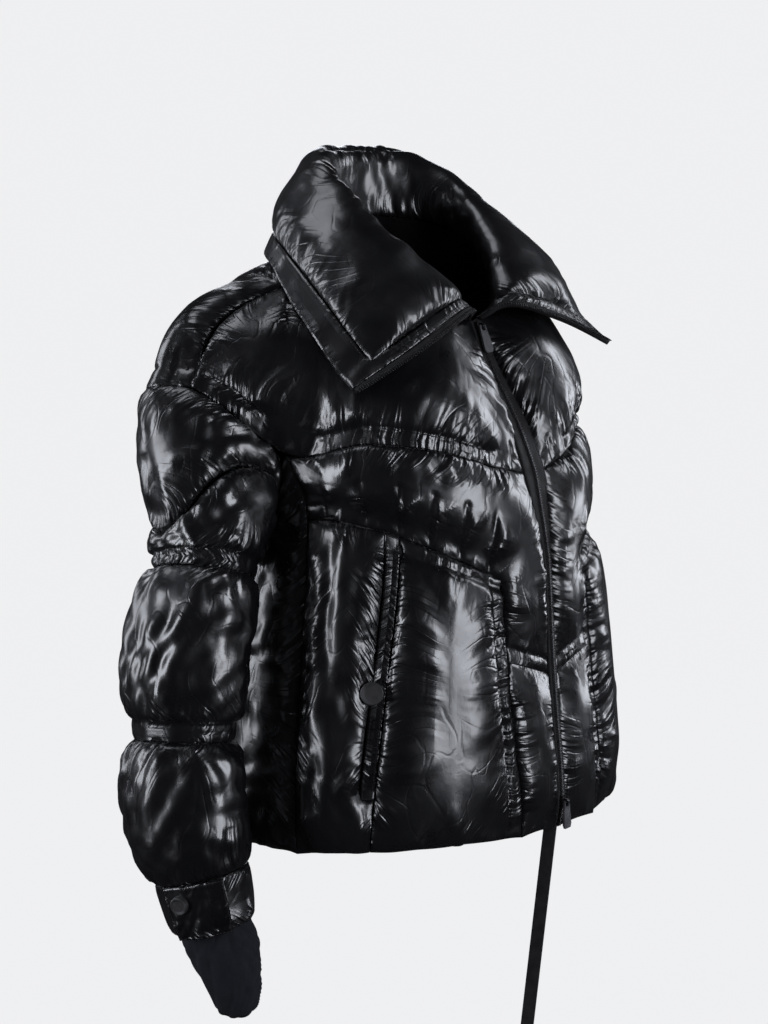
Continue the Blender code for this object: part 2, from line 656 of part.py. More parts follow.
def slider(name, place, across, outward):
    """A zip slider: a wedge plate with a bridge over it for the pull's bar. Local Y runs up the zip."""
    half_w, half_l = SLIDER_WIDTH / 2, SLIDER_LENGTH / 2
    wedge = [(-half_w * 0.72, -half_l), (half_w * 0.72, -half_l), (half_w, half_l * 0.5), (half_w * 0.8, half_l)]
    wedge += [(-half_w * 0.8, half_l), (-half_w, half_l * 0.5)]
    plate = extruded(name, wedge, SLIDER_PLATE / 2, METAL)
    foot = PULL_AXIS_HEIGHT - SLIDER_PLATE / 2 + BRIDGE_SINK
    arch = [(BRIDGE_OUTER * math.cos(a), BRIDGE_OUTER * math.sin(a)) for a in np.linspace(0.0, math.pi, 9)]
    arch += [(-BRIDGE_OUTER, -foot), (-BRIDGE_INNER, -foot)]
    arch += [(BRIDGE_INNER * math.cos(a), BRIDGE_INNER * math.sin(a)) for a in np.linspace(math.pi, 0.0, 9)]
    arch += [(BRIDGE_INNER, -foot), (BRIDGE_OUTER, -foot)]
    bridge = extruded(name + "_bridge_cutter", arch, BRIDGE_WIDTH / 2, METAL)
    bridge.data.transform(Matrix(((0, 0, 1, 0), (1, 0, 0, 0), (0, 1, 0, PULL_AXIS_HEIGHT), (0, 0, 0, 1))))
    bridge.hide_render = True
    bridge.display_type = "WIRE"
    frame = basis(place, across, outward)
    plate.matrix_world = frame
    bridge.matrix_world = frame
    union = plate.modifiers.new("bridge", "BOOLEAN")
    union.operation = "UNION"
    union.object = bridge
    return plate


def pull_tab(name, pivot, across, outward):
    """A pull tab: a tapered plate with a window whose round bar turns inside the slider's bridge."""
    side = PULL_WINDOW_HALF_WIDTH
    outline = [
        (-PULL_TOP_HALF_WIDTH, PULL_BAR_RADIUS),
        (-PULL_FOOT_HALF_WIDTH, -PULL_LENGTH + 0.004),
        (-PULL_FOOT_HALF_WIDTH * 0.72, -PULL_LENGTH),
        (PULL_FOOT_HALF_WIDTH * 0.72, -PULL_LENGTH),
        (PULL_FOOT_HALF_WIDTH, -PULL_LENGTH + 0.004),
        (PULL_TOP_HALF_WIDTH, PULL_BAR_RADIUS),
    ]
    window = [
        (-side, -PULL_BAR_RADIUS),
        (-side, -PULL_WINDOW_LENGTH),
        (-side * 0.5, -PULL_WINDOW_LENGTH),
        (side * 0.5, -PULL_WINDOW_LENGTH),
        (side, -PULL_WINDOW_LENGTH),
        (side, -PULL_BAR_RADIUS),
    ]
    count = len(outline)
    flat = outline + window
    half = PULL_BAR_RADIUS
    deep = PULL_HALF_THICKNESS
    levels = [half, deep, deep, deep, deep, half] + [half, deep, deep, deep, deep, half]
    points = [(x, y, -h) for (x, y), h in zip(flat, levels)] + [(x, y, h) for (x, y), h in zip(flat, levels)]
    top = 2 * count
    faces = []
    for k in range(count):
        after = (k + 1) % count
        o0, o1, w0, w1 = k, after, count + k, count + after
        faces.append((o0 + top, o1 + top, w1 + top, w0 + top))
        faces.append((w0, w1, o1, o0))
        faces.append((o0, o1, o1 + top, o0 + top))
        faces.append((w1, w0, w0 + top, w1 + top))
    piece = make_object(name, points, faces, RUBBER)
    bm = bmesh.new()
    bm.from_mesh(piece.data)
    bmesh.ops.triangulate(bm, faces=bm.faces[:])
    bmesh.ops.recalc_face_normals(bm, faces=bm.faces[:])
    bm.to_mesh(piece.data)
    bm.free()
    piece.matrix_world = basis(pivot, across, outward)
    return piece


def knit_cuff(name, free_stations, sleeve, side):
    """A thin knit tube out of the cuff band, with a slanting rim that is notched for the thumb."""
    end = np.array(sleeve[-1][:3])
    along_arm = unit(end - np.array(sleeve[-2][:3]))
    radius = sleeve[-1][3] - LINING_DEPTH - KNIT_CLEARANCE
    stations = [(*(end + along_arm * step), radius, radius) for step in (-KNIT_INSIDE, KNIT_OUTSIDE)]
    stations += free_stations
    centres = np.array([row[:3] for row in stations])
    rings = []
    for i, row in enumerate(stations):
        down = unit(centres[min(i + 1, len(centres) - 1)] - centres[max(i - 1, 0)])
        outward = np.array([side, 0.0, 0.0])
        outward = unit(outward - down * outward.dot(down))
        front = np.cross(down, outward)
        front = front if front[1] < 0 else -front
        ring = []
        for k in range(KNIT_COLUMNS):
            a = math.tau * k / KNIT_COLUMNS
            ring.append(centres[i] + row[3] * math.cos(a) * outward + row[4] * math.sin(a) * front)
        rings.append(ring)
    rings = np.array(rings)
    last = []
    down = unit(centres[-1] - centres[-2])
    for k in range(KNIT_COLUMNS):
        degrees = 360.0 * k / KNIT_COLUMNS
        palm = 0.5 + 0.5 * math.cos(math.radians(degrees - 60.0))
        away = (degrees - KNIT_NOTCH_ANGLE + 180.0) % 360.0 - 180.0
        notch = math.exp(-((away / KNIT_NOTCH_SPREAD) ** 2))
        drop = 0.004 + KNIT_PALM_DROP * palm - KNIT_NOTCH_DEPTH * notch
        narrow = 1.0 - 0.24 * max(drop, 0.0) / KNIT_PALM_DROP
        last.append(centres[-1] + (rings[-1][k] - centres[-1]) * narrow + down * drop)
    rings = np.concatenate([rings[:-1], (0.5 * (rings[-2] + np.array(last)))[None], np.array(last)[None]])
    sheet = loft(rings, [0, 1, 1.5, 2, 3, 4])
    tube = Cloth()
    tube.add(sheet, lambda r, c: name, lambda r, c: 0.0, [], [])
    tube.finish()
    if np.dot(tube.normals[0], tube.points[0] - centres[0]) < 0:
        tube.normals = -tube.normals
        tube.cells = [tuple(reversed(cell)) for cell in tube.cells]
    inner = tube.points - KNIT_WALL * tube.normals
    return patch_solid(name, tube, cells_named(tube, name), tube.points, inner, 0.0, LINER)


def strap_loop(name):
    """Flat webbing, down and back up in one long narrow loop."""
    top, foot = np.array(STRAP_TOP), np.array(STRAP_FOOT)
    run = unit(foot - top)
    across = unit(np.cross(run, np.cross((0.62, -0.78, 0.0), run)))
    away = unit(np.cross(run, across))
    middle = []
    length = float(np.linalg.norm(foot - top))
    down_steps, bend_steps = 12, 6
    for k in range(down_steps + 1):
        share = k / down_steps
        bow = STRAP_HALF_SPREAD * min(1.0, 0.25 + 3.0 * share)
        middle.append(top + run * length * share + away * bow)
    for k in range(1, bend_steps):
        a = math.pi * k / bend_steps
        middle.append(foot + STRAP_HALF_SPREAD * (math.cos(a) * away + math.sin(a) * run))
    for k in range(down_steps + 1):
        share = 1.0 - k / down_steps
        bow = STRAP_HALF_SPREAD * min(1.0, 0.25 + 3.0 * share)
        middle.append(top + run * length * share - away * bow)
    middle = np.array(middle)
    tangents = unit(np.gradient(middle, axis=0))
    points, faces = [], []
    for centre, tangent in zip(middle, tangents):
        outward = unit(np.cross(across, tangent))
        for side, lift in ((-1, -1), (1, -1), (1, 1), (-1, 1)):
            points.append(centre + across * side * STRAP_WIDTH / 2 + outward * lift * STRAP_THICKNESS / 2)
    for i in range(len(middle) - 1):
        for k in range(4):
            a, b = 4 * i + k, 4 * i + (k + 1) % 4
            faces.append((a, b, b + 4, a + 4))
    last = 4 * (len(middle) - 1)
    faces.append((3, 2, 1, 0))
    faces.append((last, last + 1, last + 2, last + 3))
    piece = make_object(name, points, faces, WEBBING)
    bm = bmesh.new()
    bm.from_mesh(piece.data)
    bmesh.ops.recalc_face_normals(bm, faces=bm.faces[:])
    bm.to_mesh(piece.data)
    bm.free()
    return piece


# ---------------------------------------------------------------- the jacket's sheets

SHOULDER_LEFT = 34  # yoke columns of the two shoulder seams
SHOULDER_RIGHT = 70
YOKE_ROWS = [0.0, 0.5, 1.0, 1.5, 2.0, 2.4, 2.80, 3.0]
YOKE_BAND_ROW = 6
BODY_ROWS = [0.0, 0.27, 0.53, 0.78, 1.0, 2.0, 2.27, 2.52, 2.76, 3.0, 4.0, 4.5, 5.0, 5.5, 6.0, 7.0, 8.0]
POCKET_ROW = 5  # lower edge of the pocket band
LOWER_ROW = 10  # lower edge of the lower band
HEM_ROW = len(BODY_ROWS) - 1
WELT_FOOT_ROW = HEM_ROW - 2
POCKET_SNAP_SHARE = 0.68  # of the way from the lower line's row to the next
CUFF_SNAP_SHARE = 0.60  # of the way from the wrist seam to the middle of the cuff band


def yoke_name(row, column):
    if column in (14, 15):
        return "front_zip_tape_right" if column == 14 else "front_zip_tape_left"
    if column < 14 or column >= SHOULDER_RIGHT:
        return "yoke_front_right"
    if column < SHOULDER_LEFT:
        return "yoke_front_left"
    return "yoke_back"


def yoke_sheet():
    columns = [row[0] for row in YOKE_SPOKES]
    rings = [neck_ring()]
    for i in (1, 2, 3):
        rings.append(closed_spline(columns, [row[i] for row in YOKE_SPOKES], YOKE_COLUMNS))
    return loft(rings, YOKE_ROWS)


def body_name(row, column):
    if column in (14, 15):
        return "front_zip_tape_right" if column == 14 else "front_zip_tape_left"
    if 30 <= column < 38:
        return "side_left"
    if 38 <= column < 58:
        return "back_upper" if row < LOWER_ROW else "back_lower"
    if column >= 58:
        return "side_right"
    side = "right" if column < 14 else "left"
    across = column if column < 14 else 29 - column
    if row < POCKET_ROW:
        return f"chest_{side}"
    if across >= 12:
        return f"chest_{side}" if row < LOWER_ROW else f"front_lower_{side}"
    if across >= 5:
        return f"pocket_front_{side}"
    if across == 4 and row < WELT_FOOT_ROW:
        return f"pocket_welt_{side}"
    return f"pocket_side_{side}"


def body_pillow(row, column):
    if column in (14, 15, 16):
        return FLAT_ZIP
    if 30 < column < 38 or column > 58:
        return PILLOW_UNDERARM
    if 38 <= column <= 58:
        return PILLOW_BACK if 40 <= column <= 56 else PILLOW_BACK * 0.7
    if column in (0, 1, 29, 30):
        return PILLOW_FRONT * 0.6
    return PILLOW_FRONT * (0.45 if row >= HEM_ROW - 1 else 1.0)


def body_sheet(yoke):
    seam = yoke[-1]
    front = seam[0:FRONT_COLUMNS + 1]
    back = seam[42:63]
    left = armhole(front[-1], ARMHOLE_LEFT, back[0])
    right = armhole(front[0], ARMHOLE_RIGHT, back[-1])
    top = np.concatenate([front[:-1], left[:-1], back[:-1], right[::-1][:-1]])
    columns = [row[0] for row in CROSS_SEAMS]
    pocket = closed_spline(columns, [row[1] for row in CROSS_SEAMS], BODY_COLUMNS)
    lower = closed_spline(columns, [row[2] for row in CROSS_SEAMS], BODY_COLUMNS)
    rings = [top]
    for heights in (pocket + BAND_WIDTH / 2, pocket - BAND_WIDTH / 2, lower + BAND_WIDTH / 2, lower - BAND_WIDTH / 2):
        rings.append([torso_point(c, float(heights[c])) for c in range(BODY_COLUMNS)])
    for z in HEM_RINGS_Z:
        rings.append([torso_point(c, z) for c in range(BODY_COLUMNS)])
    return loft(rings, BODY_ROWS), left, right


CAP_ROWS = 3
WEDGE_ROWS = 3
MIDDLE_ROWS = 5


def wedge_place(column, front_column, back_column):
    """How far down the cap the slanting seam crosses a column."""
    stations = sorted([
        (front_column, WEDGE_SHARE_FRONT),
        (6, WEDGE_SHARE_OUTER),
        (back_column, WEDGE_SHARE_BACK),
        (16, WEDGE_SHARE_UNDER),
    ])
    columns = [c for c, _ in stations]
    return float(closed_spline(columns, [[s] for _, s in stations], SLEEVE_COLUMNS)[column][0])


def sleeve_sheet(yoke, under, stations, side):
    """From the armhole to the end of the cuff band. Columns run over the shoulder first, then under the arm."""
    if side < 0:
        over = yoke[-1][62:74]
        top = np.concatenate([over, under[:-1]])
        front_column, back_column = 12, 0
    else:
        over = yoke[-1][30:42]
        top = np.concatenate([over, under[::-1][:-1]])
        front_column, back_column = 0, 12
    centres = np.array([row[:3] for row in stations])
    start = top.mean(axis=0)
    rings = [top]
    for i, row in enumerate(stations):
        before = centres[i - 1] if i else start
        after = centres[min(i + 1, len(stations) - 1)]
        direction = unit(after - before)
        banded = i in (0, 2)
        for lift in ((-0.5, 0.5) if banded else (0.0,)):
            rings.append(sleeve_ring(centres[i] + direction * BAND_WIDTH * lift, row[3], direction, side))
    wedge = np.array([wedge_place(c, front_column, back_column) for c in range(SLEEVE_COLUMNS)])
    rows = [wedge * k / CAP_ROWS for k in range(CAP_ROWS)]
    rows += [wedge + (1.0 - wedge) * k / WEDGE_ROWS for k in range(WEDGE_ROWS)]
    rows += [1.0, 2.0, 2.5, 3.0, 3.5, 4.0, 5.0, 5.5, 6.0, 6.5, 7.0, 7.5, 8.0]
    return loft(rings, rows)


WEDGE_ROW = CAP_ROWS
ELBOW_ROW = CAP_ROWS + WEDGE_ROWS + 1
FOREARM_ROW = ELBOW_ROW + MIDDLE_ROWS
WRIST_ROW = FOREARM_ROW + 4
CUFF_END_ROW = WRIST_ROW + 2


def sleeve_name(label):
    def name(row, column):
        if row < WEDGE_ROW:
            return f"sleeve_{label}_cap"
        if row < ELBOW_ROW:
            return f"sleeve_{label}_wedge"
        if row < FOREARM_ROW:
            return f"sleeve_{label}_middle"
        if row < WRIST_ROW:
            return f"sleeve_{label}_lower"
        return f"cuff_band_{label}"
    return name


def sleeve_pillow(row, column):
    if row >= WRIST_ROW:
        return PILLOW_CUFF
    return PILLOW_SLEEVE_INNER if 13 <= column <= 19 else PILLOW_SLEEVE


def collar_sheet(neck):
    """The collar from the left zip edge round the back to the right zip edge, neck seam to outer edge."""
    order = [(16 + 2 * k) % YOKE_COLUMNS for k in range(COLLAR_STEPS + 1)]
    neck_points = neck[order]
    half = COLLAR_STEPS // 2
    stations, keys = [], []
    for step, roll, fall, edge in COLLAR_LEFT:
        stations.append(step)
        keys.append((roll, fall, edge))
    for step, roll, fall, edge in reversed(COLLAR_RIGHT[:-1]):
        stations.append(COLLAR_STEPS - step)
        keys.append((roll, fall, edge))
    last = COLLAR_STEPS
    columns = collar_columns()
    neck_row = np.array([
        neck_points[int(c)] + (neck_points[min(int(c) + 1, last)] - neck_points[int(c)]) * (c - int(c))
        for c in columns
    ])
    keys = np.array(keys, float)
    rings = [neck_row] + [spline(stations, keys[:, i], columns) for i in range(3)]
    return loft(rings, COLLAR_ROWS), len(columns)


def collar_name(count):
    def name(row, column):
        if column == 0:
            return "collar_zip_left"
        if column == count - 2:
            return "collar_zip_right"
        if row >= COLLAR_CHANNEL_ROW or column in (1, count - 3):
            return "collar_border_left" if column < (count - 1) // 2 else "collar_border_right"
        return "collar_panel"
    return name


def share_neck_normals(cloth, yoke, collar, count):
    """Give the neck seam one direction for both walls that meet there, so that they lie face to face."""
    ids = [cloth.lookup[tuple(round(float(v), 6) for v in point)] for point in yoke[0]]
    steps = collar_columns()
    stand = collar.normals[:count]
    shared = {}
    for step in range(2 * COLLAR_STEPS + 1):
        above = np.array([np.interp(step / 2, steps, stand[:, i]) for i in range(3)])
        shared[step] = unit(unit(cloth.normals[ids[(16 + step) % YOKE_COLUMNS]]) - unit(above))
    for step, normal in shared.items():
        cloth.normals[ids[(16 + step) % YOKE_COLUMNS]] = normal
    for column, step in enumerate(steps):
        whole = [np.interp(2 * step, sorted(shared), [shared[k][i] for k in sorted(shared)]) for i in range(3)]
        collar.normals[column] = -unit(np.array(whole))


def collar_columns():
    """The collar's columns in steps from the left zip edge."""
    last = COLLAR_STEPS
    columns = [0.0, COLLAR_TAPE_STEP, COLLAR_BORDER_STEP] + list(range(2, last - 1))
    return columns + [last - COLLAR_BORDER_STEP, last - COLLAR_TAPE_STEP, float(last)]


def build_collar(neck):
    sheet, count = collar_sheet(neck)
    last_row = len(COLLAR_ROWS) - 1
    cloth = Cloth()

    def pillow(row, column):
        if column <= 1 or column >= count - 2:
            return FLAT_ZIP
        return PILLOW_COLLAR * (0.45 if row < COLLAR_ROLL_ROW else 1.0)

    crossing = [(0, 0, count - 1), (COLLAR_CHANNEL_ROW, 2, count - 3), (last_row, 0, count - 1)]
    uprights = [(0, 0, last_row), (1, 0, last_row), (2, 0, COLLAR_CHANNEL_ROW)]
    uprights += [(count - 1 - c, first, end) for c, first, end in uprights]
    cloth.add(sheet, collar_name(count), pillow, crossing, uprights, closed=False)
    cloth.finish()
    return cloth


def build_shell():
    yoke = yoke_sheet()
    body, under_left, under_right = body_sheet(yoke)
    right = sleeve_sheet(yoke, under_right, SLEEVE_RIGHT, -1)
    left = sleeve_sheet(yoke, under_left, SLEEVE_LEFT, 1)
    cloth = Cloth()
    ends = len(YOKE_ROWS) - 1
    cloth.add(
        yoke, yoke_name, lambda r, c: FLAT_ZIP if c in (14, 15, 16) else PILLOW_YOKE,
        [(0, 0, YOKE_COLUMNS), (YOKE_BAND_ROW, 0, 14), (YOKE_BAND_ROW, 16, YOKE_COLUMNS), (ends, 0, YOKE_COLUMNS)],
        [(c, 0, ends) for c in (14, 16, SHOULDER_LEFT, SHOULDER_RIGHT)],
    )
    cross = [(0, 0, BODY_COLUMNS), (HEM_ROW, 0, BODY_COLUMNS)]
    cross += [(row, start, end) for row in (POCKET_ROW - 1, POCKET_ROW) for start, end in ((0, 12), (18, 30))]
    low_spans = ((12, 14), (16, 18), (38, 58))
    cross += [(row, start, end) for row in (LOWER_ROW - 1, LOWER_ROW) for start, end in low_spans]
    uprights = [(c, 0, HEM_ROW) for c in (0, 14, 16, 30, 38, 58)]
    uprights += [(c, POCKET_ROW, HEM_ROW) for c in (11, 12, 18, 19)]
    uprights += [(c, POCKET_ROW, WELT_FOOT_ROW) for c in (4, 5, 25, 26)]
    cloth.add(body, body_name, body_pillow, cross, uprights)
    seams = [0, WEDGE_ROW, ELBOW_ROW - 1, ELBOW_ROW, FOREARM_ROW - 1, FOREARM_ROW, WRIST_ROW, CUFF_END_ROW]
    for sheet, label in ((right, "right"), (left, "left")):
        cloth.add(sheet, sleeve_name(label), sleeve_pillow, [(r, 0, SLEEVE_COLUMNS) for r in seams], [])
    cloth.finish()
    return cloth, yoke, body, right, left


def finish_of(name):
    return TAPE if "zip" in name else NYLON


def grid_ids(cloth, sheet, rows, columns):
    """The cells of a sheet in the given rows and columns, by their points in the cloth."""
    count = sheet.shape[1]
    cells = []
    for row in rows:
        for column in columns:
            corners = [(row, column), (row + 1, column), (row + 1, column + 1), (row, column + 1)]
            cells.append(tuple(cloth.lookup[tuple(round(float(v), 6) for v in sheet[r, c % count])]
                               for r, c in corners))
    return cells


def main():
    for existing in list(bpy.data.objects):
        bpy.data.objects.remove(existing, do_unlink=True)
    cloth, yoke, body, right, left = build_shell()
    collar = build_collar(yoke[0])
    share_neck_normals(cloth, yoke, collar, len(collar_columns()))
    heights = limit_crease(cloth, limit_facing(cloth, cloth.heights()))
    heights = limit_under(cloth, heights, collar)
    outer = cloth.points + cloth.normals * heights[:, None]
    inner = cloth.points - cloth.normals * LINING_DEPTH
    for name in dict.fromkeys(cloth.names):
        patch_solid(name, cloth, cells_named(cloth, name), outer, inner, SEAM_GAP / 2, finish_of(name))
    collar_outer = collar.points + collar.normals * collar.heights()[:, None]
    collar_inner = collar.points - collar.normals * LINING_DEPTH
    for name in dict.fromkeys(collar.names):
        cells = cells_named(collar, name)
        patch_solid(name, collar, cells, collar_outer, collar_inner, 2 * SEAM_GAP, finish_of(name))

    tree = outer_tree(cloth, outer)
    at = {tuple(round(float(v), 6) for v in p): i for i, p in enumerate(cloth.points)}

    def spot(sheet, row, column):
        return at[tuple(round(float(v), 6) for v in sheet[row, column % sheet.shape[1]])]

    for sheet, label, start, snap_column in ((right, "right", 6, 7), (left, "left", 2, 5)):
        tab_cells = grid_ids(cloth, sheet, range(WRIST_ROW, CUFF_END_ROW), range(start, start + 4))
        lifted = outer + cloth.normals * TAB_LIFT
        raised = outer + cloth.normals * (TAB_LIFT + TAB_THICKNESS)
        patch_solid(f"cuff_tab_{label}", cloth, tab_cells, raised, lifted, 0.0, NYLON)
        a, b = spot(sheet, WRIST_ROW, snap_column), spot(sheet, WRIST_ROW + 1, snap_column)
        place = cloth.points[a] + (cloth.points[b] - cloth.points[a]) * CUFF_SNAP_SHARE
        normal = unit(cloth.normals[a] + cloth.normals[b])
        snap(f"cuff_snap_{label}", outer_tree(cloth, raised), place, normal, CUFF_SNAP_RADIUS)
    for label, column in (("right", 4), ("left", 26)):
        a, b = spot(body, LOWER_ROW, column), spot(body, LOWER_ROW + 1, column)
        place = cloth.points[a] + (cloth.points[b] - cloth.points[a]) * POCKET_SNAP_SHARE
        normal = unit(cloth.normals[a] + cloth.normals[b])
        snap(f"pocket_snap_{label}", tree, place, normal, POCKET_SNAP_RADIUS)
    for label, sheet, row, share in (("upper", yoke, 0, 0.32), ("lower", body, HEM_ROW - 2, 0.75)):
        a, b = spot(sheet, row, 15), spot(sheet, row + 1, 15)
        base = cloth.points[a] * (1 - share) + cloth.points[b] * share
        up = unit(cloth.points[a] - cloth.points[b])
        outward = unit(cloth.normals[a] + cloth.normals[b])
        outward = unit(outward - up * outward.dot(up))
        across = np.cross(up, outward)
        clear = seat(tree, base, outward, SLIDER_LENGTH / 2) + SEAT_GAP + SLIDER_PLATE / 2
        place = base + outward * clear
        slider(f"slider_{label}", place, across, outward)
        pull_tab(f"pull_{label}", place + outward * PULL_AXIS_HEIGHT, across, outward)
    knit_cuff("knit_cuff_right", KNIT_RIGHT, SLEEVE_RIGHT, -1)
    knit_cuff("knit_cuff_left", KNIT_LEFT, SLEEVE_LEFT, 1)
    strap_loop("strap_loop")


main()
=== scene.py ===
"""The puffer jacket's looks: padded nylon panels, zips, snaps, knit cuffs and webbing."""

import math
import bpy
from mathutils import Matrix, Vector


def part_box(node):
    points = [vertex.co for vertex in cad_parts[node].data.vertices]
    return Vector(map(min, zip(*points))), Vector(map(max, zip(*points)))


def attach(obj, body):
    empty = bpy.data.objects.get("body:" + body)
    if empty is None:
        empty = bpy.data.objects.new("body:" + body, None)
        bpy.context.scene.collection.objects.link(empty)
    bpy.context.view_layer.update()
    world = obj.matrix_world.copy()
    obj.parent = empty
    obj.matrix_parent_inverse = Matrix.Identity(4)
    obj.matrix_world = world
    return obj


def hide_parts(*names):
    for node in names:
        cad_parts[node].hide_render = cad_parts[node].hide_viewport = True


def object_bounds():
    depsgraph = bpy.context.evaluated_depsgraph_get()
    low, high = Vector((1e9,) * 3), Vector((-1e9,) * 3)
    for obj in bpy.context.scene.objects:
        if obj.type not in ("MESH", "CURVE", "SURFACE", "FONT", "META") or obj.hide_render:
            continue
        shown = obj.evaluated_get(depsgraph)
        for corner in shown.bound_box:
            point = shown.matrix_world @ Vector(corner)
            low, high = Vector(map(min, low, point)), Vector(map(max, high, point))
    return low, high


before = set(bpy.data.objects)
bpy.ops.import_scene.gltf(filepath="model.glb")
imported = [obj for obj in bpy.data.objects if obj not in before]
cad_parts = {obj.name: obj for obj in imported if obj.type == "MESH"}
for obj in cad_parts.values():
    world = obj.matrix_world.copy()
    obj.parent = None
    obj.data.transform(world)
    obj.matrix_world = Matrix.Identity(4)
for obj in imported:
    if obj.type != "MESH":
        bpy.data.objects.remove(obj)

import zlib

import bmesh
import bpy
import numpy as np
from mathutils import Vector
from mathutils.bvhtree import BVHTree
from mathutils.kdtree import KDTree

bl_info = {
    "name": "Puffer Jacket",
    "version": (1, 0, 0),
    "blender": (4, 5, 0),
    "location": "3D View > Sidebar > Jacket",
    "description": "Dresses a cropped puffer jacket's frame in padded nylon and trims, and lights it",
    "category": "Add Mesh",
}

CAD_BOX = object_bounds()
SIDES = ("right", "left")

# Each padded piece's fill, how high its cloth may stand over its solid (metres), its spare cloth
PADDED = {
    "yoke_back": (0.8, 0.009, 0.05),
    "back_upper": (0.8, 0.010, 0.05),
    "back_lower": (0.8, 0.010, 0.05),
    "collar_panel": (0.7, 0.005, 0.035),
}
# Pieces crumpled all over: the way their creases run, and their share of the full height
CRUMPLED = {name: ((1.00, 0.00, -0.35), 0.35) for name in ("back_upper", "back_lower")}
for side, out in zip(SIDES, (-1, 1)):
    PADDED |= {
        f"yoke_front_{side}": (0.8, 0.008, 0.04),
        f"chest_{side}": (0.8, 0.008, 0.06),
        f"front_lower_{side}": (0.5, 0.003, 0.04),
        f"pocket_front_{side}": (0.8, 0.009, 0.03),
        f"pocket_side_{side}": (0.8, 0.008, 0.05),
        f"pocket_welt_{side}": (0.4, 0.002, 0.03),
        f"side_{side}": (0.7, 0.007, 0.06),
    }
    for part in ("cap", "wedge", "middle", "lower"):
        PADDED[f"sleeve_{side}_{part}"] = (0.8, 0.008, 0.10)
    PADDED[f"cuff_band_{side}"] = (0.4, 0.002, 0.03)
    PADDED[f"collar_border_{side}"] = (0.6, 0.003, 0.03)
    CRUMPLED |= {
        f"sleeve_{side}_cap": ((0.60 * out, 0.60, -0.50), 1.0),
        f"sleeve_{side}_wedge": ((0.15 * out, 0.10, -1.00), 0.8),
        f"sleeve_{side}_middle": ((0.55 * out, 0.50, -0.40), 1.1),
        f"sleeve_{side}_lower": ((0.50 * out, 0.50, -0.55), 0.9),
        f"side_{side}": ((0.10 * out, 0.90, -0.50), 0.6),
        f"pocket_side_{side}": ((-0.25 * out, -0.25, -0.93), 0.9),
    }
FULLEST = max(spare for _, _, spare in PADDED.values())
FLAT = [f"{kind}_{side}" for side in SIDES for kind in ("front_zip_tape", "collar_zip", "cuff_tab")]
HARD = [f"{kind}_{side}" for side in SIDES for kind in ("cuff_snap", "pocket_snap")]
HARD += ["slider_upper", "slider_lower", "pull_upper", "pull_lower"]
TOPSTITCHED = ("collar_border", "pocket_welt", "cuff_band")  # padded, with stitches on show

# All lengths below are in metres
POCKET_BAND_ROWS = 2  # rows of the fine mesh in the ruched band along a pocket panel's top
POCKET_BAND_DEPTH = 0.0054  # that its lower stitches are pulled in
POCKET_TOP = 75  # percent of a pocket panel's points that lie below its top edge
LEVEL = 0.75  # steepest climb of an edge that still counts as level

SEWN = 0.999  # weight of a point that the stitches hold
STITCHED = 0.0080  # cloth thinner than this over its lining is sewn down
CORNER = 0.6  # cosine below which a row of stitches turns a corner
BESIDE = 0.021  # between two rows of stitches that share their puckers
BESIDE_SHARE = 0.6  # of a row's points that have to lie so close
BESIDE_WAY = 0.7  # cosine of the angle between two such rows
PAST_STITCH = 0.02  # that a point may lie along a row past its nearest stitch
TORN = (1.7, 0.0006)  # an edge is torn where it runs along the seam more than so often its length
CALM_EDGE = 0.0035  # about such a place that is left quite calm
CALM_REACH = 0.014  # over which puckers die away where two seams' puckers would meet

FOLD_REACH = 0.016  # off its stitches where a fold stands highest
LONG_FOLD = (2.1, 0.024)  # a long fold's pitch in folds, and its reach
PUCKER_REACH = 0.0075
LONG_PUCKER = (1.5, 0.0170)
GROOVE_WIDTH = 0.0030
THIN = 0.006  # a panel that may stand less than this has smaller puckers
SLIP = 0.004  # that cloth may slide along its solid
LIFT_SHARE = 0.05  # of a panel's height that is left to it close to the hardware
PATCHES = (0.085, 0.031)  # sizes of the stretches of seam with strong puckers

SEAM_LAP = 0.00050  # that a turned edge reaches under its neighbour
WELD = 2e-6
TINY = 1e-12
SPLIT_ANGLES = (50, 45, 40, 55, 60, 65, 35, 70, 75)  # degrees, tried in turn to part a solid's faces
HARD_EDGE = 0.010  # round the hardware where the cloth lies still

TAB_HEM, TAPE_HEM, TOPSTITCH_HEM = 0.0018, 0.0009, 0.0022  # from an edge to its row of stitches
TAB_CREASES = (0.024, 5, (0.2, 0.2, -1.0))  # their size, seed and way
TAB_RIM = 0.004  # of a tab that stays flat
KNIT_CREASES = (0.034, 11, (0.3, 0.3, -1.0))
KNIT_RIB = 0.00030  # half a rib's height
KNIT_HEM = 0.02  # below the cuff band over which the knit's folds grow

ZIP_GAP = 0.0016  # between the two tapes' edges where the zip is closed
ZIP_TOP = 0.004  # from the zip's top to its first tooth
ZIP_END = 0.003  # from a row's end to its last tooth
ZIP_STEP = 0.003  # on each side of a tooth over which its way is measured
ZIP_RISE = 0.0006  # of the teeth over the tapes
ZIP_REACH = 0.22  # share of a tooth that reaches over the tape's edge

STRAP_TOP = (0.0585, -0.1495, -0.500)  # inside the jacket
STRAP_FOOT = (0.046, -0.1180, -0.800)  # the fold
STRAP_FACE = (0.62, -0.78, 0.0)  # the way that its flat side looks
STRAP_SIZE = (0.0130, 0.0016)  # width and thickness
STRAP_STEPS, FOLD_STEPS, STRAP_RIBS = 151, 14, 17

FLOOR_GAP = 0.004  # below the jacket's lowest point
BOWL_FLOOR = 2.0  # radius of the backdrop's flat floor
BOWL_CURVE = 6.0  # radius of its sweep up to the wall
BOWL_SIDES, BOWL_STEPS = 64, 16
LAMP_AIM = Vector((0.0, 0.0, -0.3))
LAMP_COLOR = (0.89, 0.92, 1.0)
